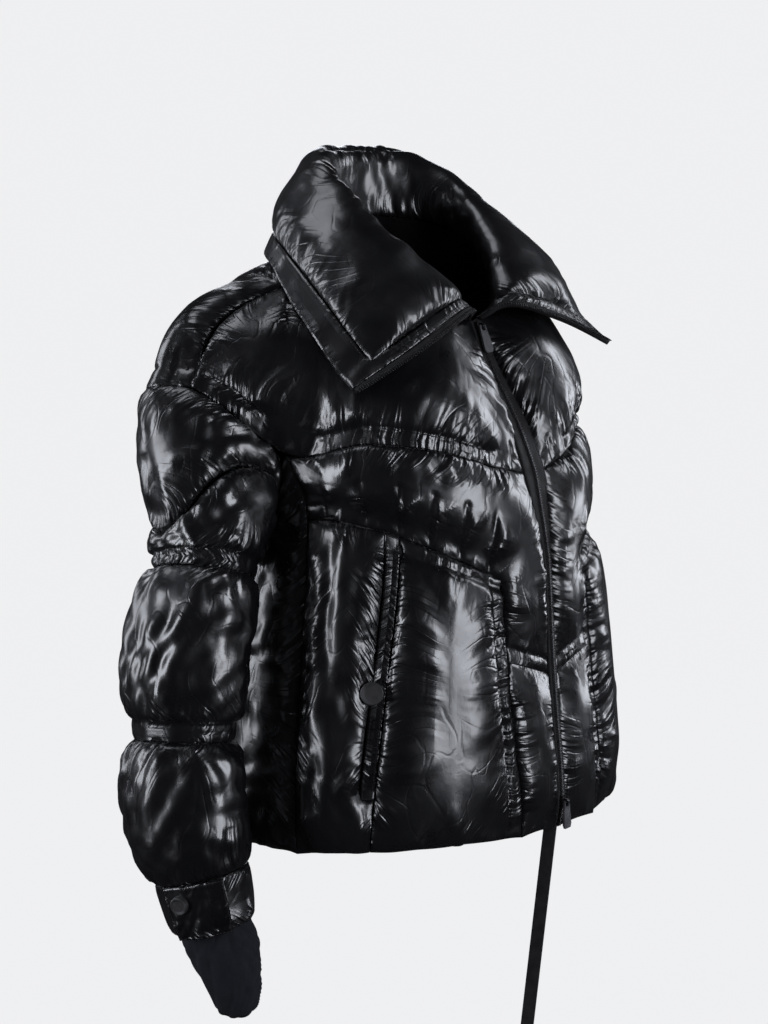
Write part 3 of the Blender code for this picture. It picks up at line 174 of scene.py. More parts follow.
# Each soft box's turn round the jacket (degrees), height, distance, width, tallness and watts
SOFT_BOXES = {
    "key_box": (10, -0.1, 2.2, 0.8, 1.4, 36.0),
    "side_box": (-106, -0.05, 2.1, 0.6, 1.5, 32.0),
    "far_box": (72, 0.3, 2.1, 0.6, 1.8, 26.0),
    "near_back_box": (-158, 0.3, 2.0, 0.6, 1.7, 14.0),
    "back_box": (135, 0.2, 2.0, 0.8, 1.5, 14.0),
}
TOP_BOX = ((-0.6, 0.5, 1.9), 1.2, 0.9, 13.0)  # its place, width, tallness and watts

# Each plain finish: dark and pale colours, least and most roughness, grain and its depth, metal
FINISHES = {
    "zip_twill": ((0.0035, 0.0035, 0.0040), (0.0065, 0.0065, 0.0072), 0.60, 0.80, 1500.0, 0.0003),
    "zip_resin": ((0.005, 0.005, 0.006), (0.008, 0.008, 0.009), 0.22, 0.34, 900.0, 0.0001),
    "knit_yarn": ((0.0034, 0.0038, 0.0062), (0.0046, 0.0052, 0.0080), 0.85, 0.95, 1800.0, 0.0004),
    "webbing_weave": (
        (0.0035, 0.0035, 0.0042), (0.0060, 0.0060, 0.0070), 0.65, 0.85, 1300.0, 0.0003
    ),
    "snap_enamel": ((0.012, 0.012, 0.013), (0.024, 0.024, 0.026), 0.38, 0.55, 1200.0, 0.0001, 0.4),
    "slider_metal": ((0.020, 0.020, 0.022), (0.040, 0.040, 0.044), 0.25, 0.42, 900.0, 0.0001, 0.9),
    "pull_rubber": ((0.020, 0.020, 0.023), (0.034, 0.034, 0.038), 0.45, 0.60, 1100.0, 0.0002),
    "thread": ((0.010, 0.010, 0.011), (0.022, 0.022, 0.024), 0.55, 0.75, 2500.0, 0.0001),
}
# Each nylon: how much duller it is than the shiniest, and how crinkled
NYLONS = {"shell_nylon": (0.0, 1.0), "collar_nylon": (0.04, 0.65)}


# ---------------------------------------------------------------- meshes


def mesh_of(name, points, faces):
    mesh = bpy.data.meshes.new(name)
    mesh.from_pydata(points, [], faces)
    return mesh


def mended(mesh, mend):
    """The mesh after some work on it as a bmesh."""
    bm = bmesh.new()
    bm.from_mesh(mesh)
    mend(bm)
    bm.to_mesh(mesh)
    bm.free()
    return mesh


def faced_out(mesh):
    """The mesh with all its faces looking outward."""
    return mended(mesh, lambda bm: bmesh.ops.recalc_face_normals(bm, faces=bm.faces))


def surface_of(mesh):
    """A tree for finding the nearest place on a mesh."""
    return BVHTree.FromPolygons(
        [v.co for v in mesh.vertices], [tuple(f.vertices) for f in mesh.polygons]
    )


def nearest(points, places):
    """Which of the points lies nearest to each place, and how far off it is."""
    tree = KDTree(len(points))
    for i, p in enumerate(points):
        tree.insert(p, i)
    tree.balance()
    found = [tree.find(p) for p in places]
    return np.array([hit[1] for hit in found]), np.array([hit[2] for hit in found])


def co_of(mesh):
    co = np.empty(len(mesh.vertices) * 3)
    mesh.vertices.foreach_get("co", co)
    return co.reshape(-1, 3)


def move_to(mesh, co):
    mesh.vertices.foreach_set("co", co.ravel())
    mesh.update()


def normals_of(mesh):
    normals = np.empty(len(mesh.vertices) * 3)
    mesh.vertex_normals.foreach_get("vector", normals)
    return normals.reshape(-1, 3)


def edges_of(mesh):
    ends = np.empty(len(mesh.edges) * 2, np.int64)
    mesh.edges.foreach_get("vertices", ends)
    return ends.reshape(-1, 2)


def edge_key(a, b):
    """An edge's two points, the lower first."""
    return (a, b) if a < b else (b, a)


def unit(ways, spare=0.0):
    """The ways, each made one long."""
    return ways / (np.linalg.norm(ways, axis=1)[:, None] + spare)


def lengths_along(line):
    """How far each point of a line lies from its start."""
    steps = np.linalg.norm(np.diff(line, axis=0), axis=1)
    return np.concatenate([[0.0], np.cumsum(steps)])


def seed_of(name):
    return zlib.crc32(name.encode())


def border_edges(mesh):
    """The mesh's open edges, each in its face's own direction."""
    used = {}
    for face in mesh.polygons:
        corners = list(face.vertices)
        for a, b in zip(corners, corners[1:] + corners[:1]):
            key = edge_key(a, b)
            used[key] = None if key in used else (a, b)
    return [ends for ends in used.values() if ends]


def border_loops(mesh):
    """The open edges as closed runs of vertices."""
    after = dict(border_edges(mesh))
    loops = []
    while after:
        start, current = next(iter(after.items()))
        loop = [start]
        del after[start]
        while current != start:
            loop.append(current)
            current = after.pop(current)
        loops.append(loop)
    return loops


def smoothed(mesh, levels, weights=None):
    """The mesh subdivided as a smooth sheet that keeps its corners, and each point's weight."""
    if weights is None:
        weights = np.zeros(len(mesh.vertices))
    obj = bpy.data.objects.new(mesh.name + "_work", mesh)
    bpy.context.scene.collection.objects.link(obj)
    group = obj.vertex_groups.new(name="weight")
    for value in np.unique(weights):
        group.add([int(i) for i in np.nonzero(weights == value)[0]], float(value), "REPLACE")
    sub = obj.modifiers.new("sub", "SUBSURF")
    sub.levels = levels
    sub.boundary_smooth = "PRESERVE_CORNERS"
    graph = bpy.context.evaluated_depsgraph_get()
    fine = bpy.data.meshes.new_from_object(
        obj.evaluated_get(graph), preserve_all_data_layers=True, depsgraph=graph
    )
    found = np.zeros(len(fine.vertices))
    for v in fine.vertices:
        for g in v.groups:
            found[v.index] = g.weight
    bpy.data.objects.remove(obj)
    return fine, found


# ---------------------------------------------------------------- reading a panel from its solid


def parted(bm, lift=None):
    """The two faces of a sewn wall, as lists of triangles: the lining's and the shell's.

    The shell is the larger face, or with a lift the one that looks outward the more.
    """
    half, pairs = len(bm.verts) // 2, []
    for limit in SPLIT_ANGLES:
        seen, found = set(), []
        for face in bm.faces:
            if face in seen:
                continue
            patch = spread(face, math.radians(limit), seen)
            corners = {v for f in patch for v in f.verts}
            if len(corners) == half:
                found.append((sum(f.calc_area() for f in patch), patch, corners))
        found.sort(key=lambda item: item[0])
        for _, patch, corners in found:
            rest = [f for f in bm.faces if not any(v in corners for v in f.verts)]
            if len(rest) == len(patch):
                if lift is None:
                    return patch, rest
                gain = looks_outward(rest, lift) - looks_outward(patch, lift)
                pairs.append((gain, patch, rest))
    if not pairs:
        raise RuntimeError("this solid isn't a sewn wall")
    most = max(pairs, key=lambda found: abs(found[0]))
    return most[1:] if most[0] > 0 else most[:0:-1]


def spread(face, limit, seen):
    """The faces reached from one without crossing an edge sharper than the limit."""
    seen.add(face)
    stack, patch = [face], [face]
    while stack:
        for edge in stack.pop().edges:
            if len(edge.link_faces) == 2 and edge.calc_face_angle(0.0) < limit:
                for other in edge.link_faces:
                    if other not in seen:
                        seen.add(other)
                        patch.append(other)
                        stack.append(other)
    return patch


def looks_outward(faces, lift):
    """How far the faces look away from the jacket's middle, and up by as much as lift says."""
    total = 0.0
    for face in faces:
        c = face.calc_center_median()
        outward = Vector((c.x, c.y, 0.0)).normalized() + Vector((0, 0, lift))
        total += face.calc_area() * face.normal.dot(outward)
    return total


def face_mesh(name, faces):
    """A mesh of some of a bmesh's triangles, joined to quads."""
    ids, points, loops = {}, [], []
    for face in faces:
        for v in face.verts:
            if v not in ids:
                ids[v] = len(points)
                points.append(tuple(v.co))
        loops.append(tuple(ids[v] for v in face.verts))
    limits = {"angle_face_threshold": math.pi, "angle_shape_threshold": math.pi}
    return mended(
        mesh_of(name, points, loops),
        lambda bm: bmesh.ops.join_triangles(bm, faces=bm.faces, **limits),
    )


def solid_faces(node):
    """The shell and lining meshes of a node."""
    bm = bmesh.new()
    bm.from_mesh(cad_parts[node].data)
    bmesh.ops.remove_doubles(bm, verts=bm.verts, dist=WELD)
    bmesh.ops.triangulate(bm, faces=bm.faces)
    bm.normal_update()
    lift = None
    if node.startswith("collar_"):
        lift = 1.0
    elif node.startswith(("front_", "pocket_")):
        lift = 0.0
    lining, shell = parted(bm, lift)
    meshes = face_mesh(node + "_shell", shell), face_mesh(node + "_lining", lining)
    bm.free()
    return meshes


# ---------------------------------------------------------------- puckers along the seams


def row_below_top(mesh):
    """The points of a row a little below a panel's top edge, for a second row of stitches."""
    co = co_of(mesh)
    border = np.array(border_edges(mesh))
    ways = co[border[:, 1]] - co[border[:, 0]]
    level = np.abs(ways[:, 2]) < LEVEL * np.linalg.norm(ways, axis=1)
    high = co[border[:, 0], 2] > np.percentile(co[:, 2], POCKET_TOP)
    row = set(border[level & high].ravel().tolist())
    beside = {}
    for a, b in edges_of(mesh):
        beside.setdefault(int(a), set()).add(int(b))
        beside.setdefault(int(b), set()).add(int(a))
    passed = set(row)
    for _ in range(POCKET_BAND_ROWS):
        row = {w for v in row for w in beside[v]} - passed
        passed |= row
    return sorted(row)


class Seams:
    """Where each point of a panel lies from the nearest row of stitches.

    s is how far along the row it lies and d how far off it. calm falls to 0 where two rows meet.
    """

    def __init__(self, mesh, weights, seed):
        co, ends = co_of(mesh), edges_of(mesh)
        self.points, self.along, self.tangents = [], [], []
        rng = np.random.default_rng(seed)
        for run in self.rows(mesh, co, ends, weights > SEWN):
            line = co[run]
            along = lengths_along(line) + rng.uniform(0.0, 50.0)
            tangents = unit(np.gradient(line, axis=0), TINY)
            along = self.in_step(line, along, tangents)
            self.points.append(line)
            self.along.append(along)
            self.tangents.append(tangents)
        signs = [np.full(len(run), 1.0 if run[-1] > run[0] else -1.0) for run in self.along]
        points, along = np.concatenate(self.points), np.concatenate(self.along)
        tangents, signs = np.concatenate(self.tangents), np.concatenate(signs)
        near, _ = nearest(points, co)
        gap = co - points[near]
        step = (gap * tangents[near]).sum(axis=1)
        self.s = along[near] + signs[near] * np.clip(step, -PAST_STITCH, PAST_STITCH)
        self.d = np.sqrt(np.maximum((gap**2).sum(axis=1) - step**2, 0.0))
        a, b = ends.T
        often, spare = TORN
        torn = np.abs(self.s[a] - self.s[b]) > often * np.linalg.norm(co[a] - co[b], axis=1) + spare
        broken = np.unique(np.concatenate([a[torn], b[torn]]))
        self.calm = np.ones(len(co))
        if len(broken):
            _, far = nearest(co[broken], co)
            self.calm = np.clip((far - CALM_EDGE) / CALM_REACH, 0.0, 1.0)

    def rows(self, mesh, co, ends, sewn):
        """The rows of stitches: open edges, and the rims of what is sewn down, cut at corners."""
        border = {edge_key(a, b) for a, b in border_edges(mesh)}
        loose = set()
        for face in mesh.polygons:
            if not all(sewn[v] for v in face.vertices):
                loose.update(face.edge_keys)
        rails = []
        for a, b in ends.tolist():
            key = edge_key(a, b)
            if key in border or (sewn[a] and sewn[b] and key in loose):
                rails.append((a, b))
        nexts = {}
        for a, b in rails:
            nexts.setdefault(a, []).append(b)
            nexts.setdefault(b, []).append(a)
        left = {edge_key(a, b) for a, b in rails}
        for start in sorted(v for v in nexts if len(nexts[v]) != 2) + sorted(nexts):
            for second in nexts[start]:
                if edge_key(start, second) not in left:
                    continue
                run = [start, second]
                left.discard(edge_key(start, second))
                while len(nexts[run[-1]]) == 2:
                    following = [v for v in nexts[run[-1]] if edge_key(v, run[-1]) in left]
                    if not following or turns(co[run[-2]], co[run[-1]], co[following[0]]):
                        break
                    left.discard(edge_key(following[0], run[-1]))
                    run.append(following[0])
                yield run

    def in_step(self, line, along, tangents):
        """A row's lengths, counted on from a row close beside it, so that their puckers meet."""
        for points, other, other_tangents in zip(self.points, self.along, self.tangents):
            gaps = np.linalg.norm(line[:, None] - points[None], axis=2)
            near = gaps.argmin(axis=1)
            close = gaps.min(axis=1) < BESIDE
            if close.mean() < BESIDE_SHARE:
                continue
            way = (tangents * other_tangents[near]).sum(axis=1)[close].mean()
            if abs(way) > BESIDE_WAY:
                rising = 1.0 if other[-1] > other[0] else -1.0
                sign = rising if way > 0 else -rising
                local = sign * (along - along[0])
                return local + np.median((other[near] - local)[close])
        return along


def turns(before, at, after):
    """Whether a line of stitches turns a corner."""
    a, b = at - before, after - at
    return a.dot(b) < CORNER * np.linalg.norm(a) * np.linalg.norm(b)


def hashed(cells, salt):
    """A steady random number from 0 to 1 for each whole number."""
    x = np.sin(cells * 12.9898 + salt * 78.233) * 43758.5453
    return x - np.floor(x)


def wander(x, salt):
    """Smooth noise along a line, from -1 to 1."""
    cell = np.floor(x)
    f = x - cell
    f = f * f * (3.0 - 2.0 * f)
    return 2.0 * (hashed(cell, salt) * (1.0 - f) + hashed(cell + 1.0, salt) * f) - 1.0


def ridges(s, d, pitch, salt):
    """Rounded ridges with sharp valleys, uneven in width, height and slant, from 0 to 1."""
    uneven = 0.45 * wander(s / (pitch * 2.3), salt)
    slant = wander(s / (pitch * 4.0), salt + 3.0) * d / pitch * 0.8
    x = s / pitch + uneven + slant
    cell = np.floor(x)
    rounded = 1.0 - np.abs(2.0 * (x - cell) - 1.0) ** 1.6
    return rounded * (0.15 + 1.05 * hashed(cell, salt + 1.0) ** 1.5)


def crumples(co, size, salt, lean):
    """Facets of about the given size, with creases that run along the lean, from -1 to 1."""
    rng = np.random.default_rng(salt)
    lean = np.array(lean) / np.linalg.norm(lean)
    total = np.zeros(len(co))
    shares = (1.0, 0.7, 0.5)
    for share in shares:
        ways = rng.normal(size=(2, 3))
        ways[0] -= lean * (ways[0] @ lean) * 0.85
        ways = unit(ways)
        bent = np.sin(co @ ways[1] * math.tau / (size * 1.9) + rng.uniform(0, math.tau))
        phase = co @ ways[0] * math.tau / (size * (0.7 + 0.6 * rng.random())) + 1.4 * bent
        total += share * (2.0 * np.abs(np.sin(phase + rng.uniform(0, math.tau))) - 1.0)
    return total / sum(shares)


def fading(d, reach):
    """Nothing at the stitches, most at reach, then dying away."""
    return d / reach * np.exp(1.0 - d / reach)


# ---------------------------------------------------------------- materials


def new_material(name):
    mat = bpy.data.materials.new(name)
    mat.use_nodes = True
    return mat, mat.node_tree, mat.node_tree.nodes["Principled BSDF"]


def add_node(tree, kind, values=(), **settings):
    """A node with its settings, and a number or another node's socket in each input named."""
    node = tree.nodes.new(kind)
    for key, value in settings.items():
        setattr(node, key, value)
    for key, value in dict(values).items():
        if isinstance(value, bpy.types.NodeSocket):
            tree.links.new(value, node.inputs[key])
        else:
            node.inputs[key].default_value = value
    return node


def reckoned(tree, operation, *values):
    """A sum of sockets and numbers."""
    node = add_node(tree, "ShaderNodeMath", enumerate(values), operation=operation)
    return node.outputs["Value"]


def noise(tree, scale, detail=3.0, distortion=0.0, stretch=None):
    """A noise texture in the jacket's own metres."""
    place = add_node(tree, "ShaderNodeTexCoord").outputs["Object"]
    if stretch:
        values = {"Vector": place, "Scale": stretch}
        place = add_node(tree, "ShaderNodeMapping", values).outputs["Vector"]
    values = {"Vector": place, "Scale": scale, "Detail": detail, "Distortion": distortion}
    return add_node(tree, "ShaderNodeTexNoise", values).outputs["Fac"]


def remap(tree, value, low, high, from_low=0.3, from_high=0.7):
    values = {"From Min": from_low, "From Max": from_high, "To Min": low, "To Max": high}
    return add_node(tree, "ShaderNodeMapRange", {"Value": value, **values}).outputs["Result"]


def bump(tree, height, strength, distance, under=None):
    """A relief of the given height, laid over the one under it."""
    values = {"Height": height, "Strength": strength, "Distance": distance}
    if under:
        values["Normal"] = under
    return add_node(tree, "ShaderNodeBump", values).outputs["Normal"]


def blend_colors(tree, factor, dark, pale):
    ramp = add_node(tree, "ShaderNodeValToRGB", {"Fac": factor})
    for stop, position, color in zip(ramp.color_ramp.elements, (0.35, 0.65), (dark, pale)):
        stop.position = position
        stop.color = (*color, 1.0)
    return ramp.outputs["Color"]


def attribute(tree, name, scale=1.0):
    """A field of the panel's points, scaled."""
    field = add_node(tree, "ShaderNodeAttribute", attribute_name=name)
    return reckoned(tree, "MULTIPLY", field.outputs["Fac"], scale)


def seam_noise(tree, pitch, length, detail):
    """Noise that is narrow along a row of stitches, and long and slanting away from it."""
    slant = remap(tree, noise(tree, 6.0, 0.0), -1.1 / pitch, 1.1 / pitch)
    run = attribute(tree, "seam_run", 1.0 / pitch)
    across = reckoned(tree, "MULTIPLY_ADD", attribute(tree, "seam_off"), slant, run)
    away = attribute(tree, "seam_off", 1.0 / length)
    place = add_node(tree, "ShaderNodeCombineXYZ", {"X": across, "Y": away}).outputs["Vector"]
    values = {"Vector": place, "Scale": 1.0, "Detail": detail, "Roughness": 0.45, "Distortion": 0.1}
    return add_node(tree, "ShaderNodeTexNoise", values, noise_dimensions="2D").outputs["Fac"]


def dying(tree, height, reach):
    """A height that dies away from the stitches, and where two seams' puckers meet."""
    power = reckoned(tree, "POWER", math.e, attribute(tree, "seam_off", -1.0 / reach))
    left = reckoned(tree, "MULTIPLY", power, attribute(tree, "seam_calm"))
    return reckoned(tree, "MULTIPLY", height, left)


def sharp(tree, value, width):
    """A thin valley wherever the value crosses a half."""
    off = reckoned(tree, "SUBTRACT", value, 0.5)
    return remap(tree, reckoned(tree, "ABSOLUTE", off), 0.0, 1.0, 0.0, width)


def nylon(name, duller, crinkle):
    """Lacquered down-proof nylon: near black, with a clear coat, fine crinkles and a weave."""
    mat, tree, shader = new_material(name)
    look = bpy.context.scene.jacket_finish
    shader.inputs["Specular IOR Level"].default_value = 0.55
    shader.inputs["Coat Weight"].default_value = 0.25
    shader.inputs["Coat Roughness"].default_value = 0.14
    gloss = remap(tree, noise(tree, 34.0), look.gloss_low + duller, look.gloss_high + duller)
    tree.links.new(gloss, shader.inputs["Roughness"])
    dark, pale = [c * 0.7 for c in look.nylon], [c * 1.4 for c in look.nylon]
    tree.links.new(blend_colors(tree, noise(tree, 12.0), dark, pale), shader.inputs["Base Color"])

    weave = noise(tree, 1900.0, detail=1.0)
    rumple = noise(tree, 120.0, detail=2.0, distortion=0.8)
    crease = sharp(tree, noise(tree, 26.0, 1.5, 0.6, stretch=(1.0, 1.0, 0.6)), width=0.03)
    patches = remap(tree, noise(tree, 11.0, 1.0), 0.15, 1.25, 0.38, 0.62)
    fold = dying(tree, seam_noise(tree, 0.0135, 0.13, 1.0), reach=0.030)
    tight = remap(tree, noise(tree, 23.0, 1.0), 0.55, 1.35, 0.40, 0.60)
    pucker = dying(tree, seam_noise(tree, 0.0065, 0.032, 1.0), reach=0.0085)
    hair = dying(tree, sharp(tree, seam_noise(tree, 0.019, 0.20, 1.5), width=0.030), reach=0.026)
    surface = None
    for height, strength, distance in (
        (weave, 0.05, 0.0002),
        (rumple, 0.10 * crinkle, 0.0012),
        (crease, crinkle, 0.00012),
        (reckoned(tree, "MULTIPLY", fold, patches), crinkle, 0.0052),
        (reckoned(tree, "MULTIPLY", pucker, tight), crinkle, 0.0040),
        (hair, crinkle, 0.0006),
    ):
        surface = bump(tree, height, strength, distance, surface)
    tree.links.new(surface, shader.inputs["Normal"])
    tree.links.new(surface, shader.inputs["Coat Normal"])
    return mat


def matte(name, dark, pale, low, high, grain, depth, metal=0.0):
    """A plain finish with an uneven colour, roughness and grain."""
    mat, tree, shader = new_material(name)
    shader.inputs["Specular IOR Level"].default_value = 0.5 if metal else 0.2
    shader.inputs["Metallic"].default_value = metal
    color = blend_colors(tree, noise(tree, 90.0), dark, pale)
    tree.links.new(color, shader.inputs["Base Color"])
    tree.links.new(remap(tree, noise(tree, 160.0), low, high), shader.inputs["Roughness"])
    surface = bump(tree, noise(tree, grain, detail=2.0), 0.5, depth)
    tree.links.new(surface, shader.inputs["Normal"])
    return mat


def finish(name):
    """The shared material of that name, made on first use."""
    found = bpy.data.materials.get(name)
    if found:
        return found
    if name in NYLONS:
        return nylon(name, *NYLONS[name])
    return matte(name, *FINISHES[name])


# ---------------------------------------------------------------- putting pieces together


def add_piece(name, mesh, material, body="shell", nodes=()):
    """A finished piece that rides on its body and stands for its nodes."""
    obj = bpy.data.objects.new(name, mesh)
    bpy.context.scene.collection.objects.link(obj)
    mesh.materials.clear()
    mesh.materials.append(finish(material))
    mesh.shade_smooth()
    if nodes:
        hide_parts(*nodes)
    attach(obj, body)
    return obj


def matched(loop_points, lining_points):
    """The lining's border points, in the order and at the spacing of the shell's border."""
    times = len(loop_points) // len(lining_points)
    steps = np.arange(times)[:, None, None] / times
    best = None
    for turned in (lining_points, lining_points[::-1]):
        after = np.roll(turned, -1, axis=0)
        dense = turned[None] * (1.0 - steps) + after[None] * steps
        dense = dense.transpose(1, 0, 2).reshape(-1, 3)
        for shift in range(len(turned)):
            moved = np.roll(dense, shift * times, axis=0)
            miss = ((moved[::times] - loop_points[::times]) ** 2).sum()
            if best is None or miss < best[0]:
                best = (miss, moved)
    return best[1]


def whole_wall(name, shell, lining, seams=None, lap=0.0):
    """One mesh of the shell, the lining, and the turned edge between them.

    The turned edge's foot reaches under the neighbouring panel by the lap. The seams' fields go
    on the shell's points.
    """
    outer, inner = co_of(shell), co_of(lining)
    points = [outer, inner]
    count = len(outer)
    faces = [tuple(f.vertices) for f in shell.polygons]
    faces += [tuple(count + v for v in f.vertices) for f in lining.polygons]
    count += len(inner)
    shell_loops, lining_loops = border_loops(shell), border_loops(lining)
    for loop in shell_loops:
        line = outer[loop]
        choices = [run for run in lining_loops if len(loop) % len(run) == 0] or lining_loops
        middle = line.mean(axis=0)
        run = min(choices, key=lambda r: np.linalg.norm(inner[r].mean(axis=0) - middle))
        foot = matched(line, inner[run])
        along = np.roll(line, -1, axis=0) - np.roll(line, 1, axis=0)
        foot = foot + unit(np.cross(along, line - foot), TINY) * lap
        points.append(foot)
        for k in range(len(loop)):
            after = (k + 1) % len(loop)
            faces.append((loop[after], loop[k], count + k, count + after))
        count += len(foot)
    mesh = mesh_of(name, np.concatenate(points).tolist(), faces)
    if seams:
        fields = {"seam_run": seams.s, "seam_off": seams.d, "seam_calm": seams.calm}
        for field, values in fields.items():
            whole = np.zeros(len(mesh.vertices), np.float32)
            whole[:len(outer)] = values
            mesh.attributes.new(field, "FLOAT", "POINT").data.foreach_set("value", whole)
    return mended(mesh, lambda bm: bmesh.ops.remove_doubles(bm, verts=bm.verts, dist=WELD))


def near_hardware(co, reach):
    """From 0 on the snaps, sliders and pulls to 1 at reach and beyond."""
    far = np.full(len(co), np.inf)
    for name in HARD:
        low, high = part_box(name)
        for place in (low, high, (low + high) / 2):
            far = np.minimum(far, np.linalg.norm(co - np.array(place), axis=1))
    return np.clip((far - HARD_EDGE) / reach, 0.0, 1.0)


def pressed_cloth(points, faces, pins, spare, cloth):
    """The sheet after it swells and buckles between its stitches.

    spare is each point's share of the most fullness.
    """
    obj = bpy.data.objects.new("swelling", mesh_of("swelling", points.tolist(), faces))
    scene = bpy.context.scene
    scene.collection.objects.link(obj)
    group = obj.vertex_groups.new(name="pins")
    group.add([int(i) for i in np.nonzero(pins)[0]], 1.0, "REPLACE")
    full = obj.vertex_groups.new(name="full")
    for value in np.unique(spare):
        full.add([int(i) for i in np.nonzero(spare == value)[0]], float(value), "REPLACE")
    modifier = obj.modifiers.new("cloth", "CLOTH")
    settings = modifier.settings
    settings.quality = cloth.quality
    settings.mass = 0.3
    settings.air_damping = 1.0
    settings.tension_stiffness = cloth.stiffness
    settings.compression_stiffness = cloth.stiffness
    settings.shear_stiffness = cloth.stiffness * 0.3
    settings.bending_stiffness = cloth.bending
    settings.tension_damping = settings.compression_damping = settings.shear_damping = 5.0
    settings.bending_damping = 0.5
    settings.use_pressure = True
    settings.uniform_pressure_force = cloth.pressure
    settings.vertex_group_shrink = "full"
    settings.shrink_min = 0.0
    settings.shrink_max = -FULLEST * cloth.fullness
    settings.vertex_group_mass = "pins"
    settings.pin_stiffness = 1.0
    settings.effector_weights.gravity = 0.0
    modifier.collision_settings.use_collision = False
    modifier.collision_settings.use_self_collision = False
    modifier.point_cache.frame_start = 1
    modifier.point_cache.frame_end = cloth.frames
    for step in range(1, cloth.frames + 1):
        scene.frame_set(step)
    graph = bpy.context.evaluated_depsgraph_get()
    swollen = co_of(bpy.data.meshes.new_from_object(obj.evaluated_get(graph)))
    bpy.data.objects.remove(obj)
    scene.frame_set(1)
    return swollen


def pegs(name, places, profile, section, size, material):
    """One mesh of small pegs.

    A place is a centre, its way across, along and up, and size is a half peg's three.
    """
    points, faces, sides = [], [], len(section)
    for centre, across, along, up in places:
        base = len(points)
        for reach, width in profile:
            middle = centre + across * reach * size[0]
            for side, lift in section:
                aside = along * side * size[1] * width
                points.append(tuple(middle + aside + up * lift * size[2] * min(width, 1.0)))
        for r in range(len(profile) - 1):
            for k in range(sides):
                a, b = base + sides * r + k, base + sides * r + (k + 1) % sides
                faces.append((a, a + sides, b + sides, b))
        last = base + sides * (len(profile) - 1)
        faces.append(tuple(range(base, base + sides)))
        faces.append(tuple(reversed(range(last, last + sides))))
    return add_piece(name, faced_out(mesh_of(name, points, faces)), material)


def teeth_piece(name, teeth, trim):
    """Rounded teeth, each with a head that reaches over the zip's middle."""
    profile = ((-1.0, 0.55), (-0.75, 1.25), (-0.3, 0.8), (0.6, 0.75), (1.0, 0.6))
    section = ((-1, -0.6), (-1, 0.55), (-0.55, 1.0), (0.55, 1.0), (1, 0.55), (1, -0.6))
    places = [(centre, across, forward, up) for centre, forward, across, up in teeth]
    size = (trim.tooth_length / 2, trim.tooth_pitch * 0.29, 0.0009)
    return pegs(name, places, profile, section, size, "zip_resin")


def stitch_row(mesh, inset, pitch):
    """Places for the stitches of a row round a piece's face, a little inside its edge."""
    co, normals = co_of(mesh), normals_of(mesh)
    surface = surface_of(mesh)
    places = []
    for loop in border_loops(mesh):
        line = np.concatenate([co[loop], co[loop[:1]]])
        steps = np.linalg.norm(np.diff(line, axis=0), axis=1)
        along = np.concatenate([[0.0], np.cumsum(steps)])
        for place in np.arange(pitch / 2, along[-1] - pitch / 2, pitch):
            k = int(np.searchsorted(along, place)) - 1
            way = Vector(line[k + 1] - line[k]).normalized()
            inward = Vector(normals[loop[k]]).cross(way).normalized()
            edge = line[k] + (line[k + 1] - line[k]) * (place - along[k]) / steps[k]
            centre, up, _, _ = surface.find_nearest(Vector(edge) + inward * inset)
            way = (way - up * way.dot(up)).normalized()
            stitch = (centre + up * 0.00012, way, up.cross(way), up)
            places.append([np.array(v) for v in stitch])
    return places


def stitches_piece(name, places, pitch):
    """Short rounded stitches of thread."""
    profile = ((-1.0, 0.35), (-0.6, 1.0), (0.6, 1.0), (1.0, 0.35))
    section = ((-1, 0.0), (-0.6, 0.8), (0.6, 0.8), (1, 0.0), (0.0, -0.8))
    size = (pitch * 0.36, 0.00028, 0.00028)
    return pegs(name, places, profile, section, size, "thread")


# ---------------------------------------------------------------- settings


def length(name, default, description):
    """A setting in metres."""
    return bpy.props.FloatProperty(
        name=name, description=description, default=default, unit="LENGTH"
    )


def plain(name, default, description, subtype="NONE"):
    """A setting that is a bare number, a share or an angle."""
    return bpy.props.FloatProperty(
        name=name, description=description, default=default, subtype=subtype
    )


class JacketCloth(bpy.types.PropertyGroup):
    """How the padded nylon swells, folds and puckers."""

    fullness: plain("Fullness", 1.0, "Share of each panel's spare cloth that is let out", "FACTOR")
    pressure: plain("Pressure", 2.0, "How hard the down pushes out")
    stiffness: plain("Stiffness", 15.0, "Resistance to stretching")
    bending: plain("Bending", 0.15, "Resistance to bending")
    quality: bpy.props.IntProperty(
        name="Quality", description="Simulation steps a frame", default=5
    )
    frames: bpy.props.IntProperty(
        name="Frames", description="How long the cloth settles", default=20
    )
    pressed_in: length("Pressed In", 0.0060, "The deepest a fold may sink")
    pucker_pitch: length("Pucker Pitch", 0.011, "Spacing of the puckers at a seam")
    pucker_height: length("Pucker Height", 0.0016, "Height of the puckers at a seam")
    fold_pitch: length("Fold Pitch", 0.023, "Spacing of the folds that run off a seam")
    fold_height: length("Fold Height", 0.0028, "Height of the folds that run off a seam")
    crumple_size: length("Crumple Size", 0.050, "Size of the facets of crumpled cloth")
    crumple_height: length("Crumple Height", 0.0050, "Height of the facets of crumpled cloth")
    groove: length("Groove", 0.0018, "How deep a row of stitches pulls the cloth")


class JacketFinish(bpy.types.PropertyGroup):
    """The colours and gloss of the jacket's materials."""

    nylon: bpy.props.FloatVectorProperty(
        name="Nylon", description="Colour of the shell", default=(0.0015, 0.0015, 0.0020),
        size=3, subtype="COLOR",
    )
    gloss_low: plain("Shiniest", 0.25, "Least roughness of the nylon", "FACTOR")
    gloss_high: plain("Dullest", 0.37, "Most roughness of the nylon", "FACTOR")


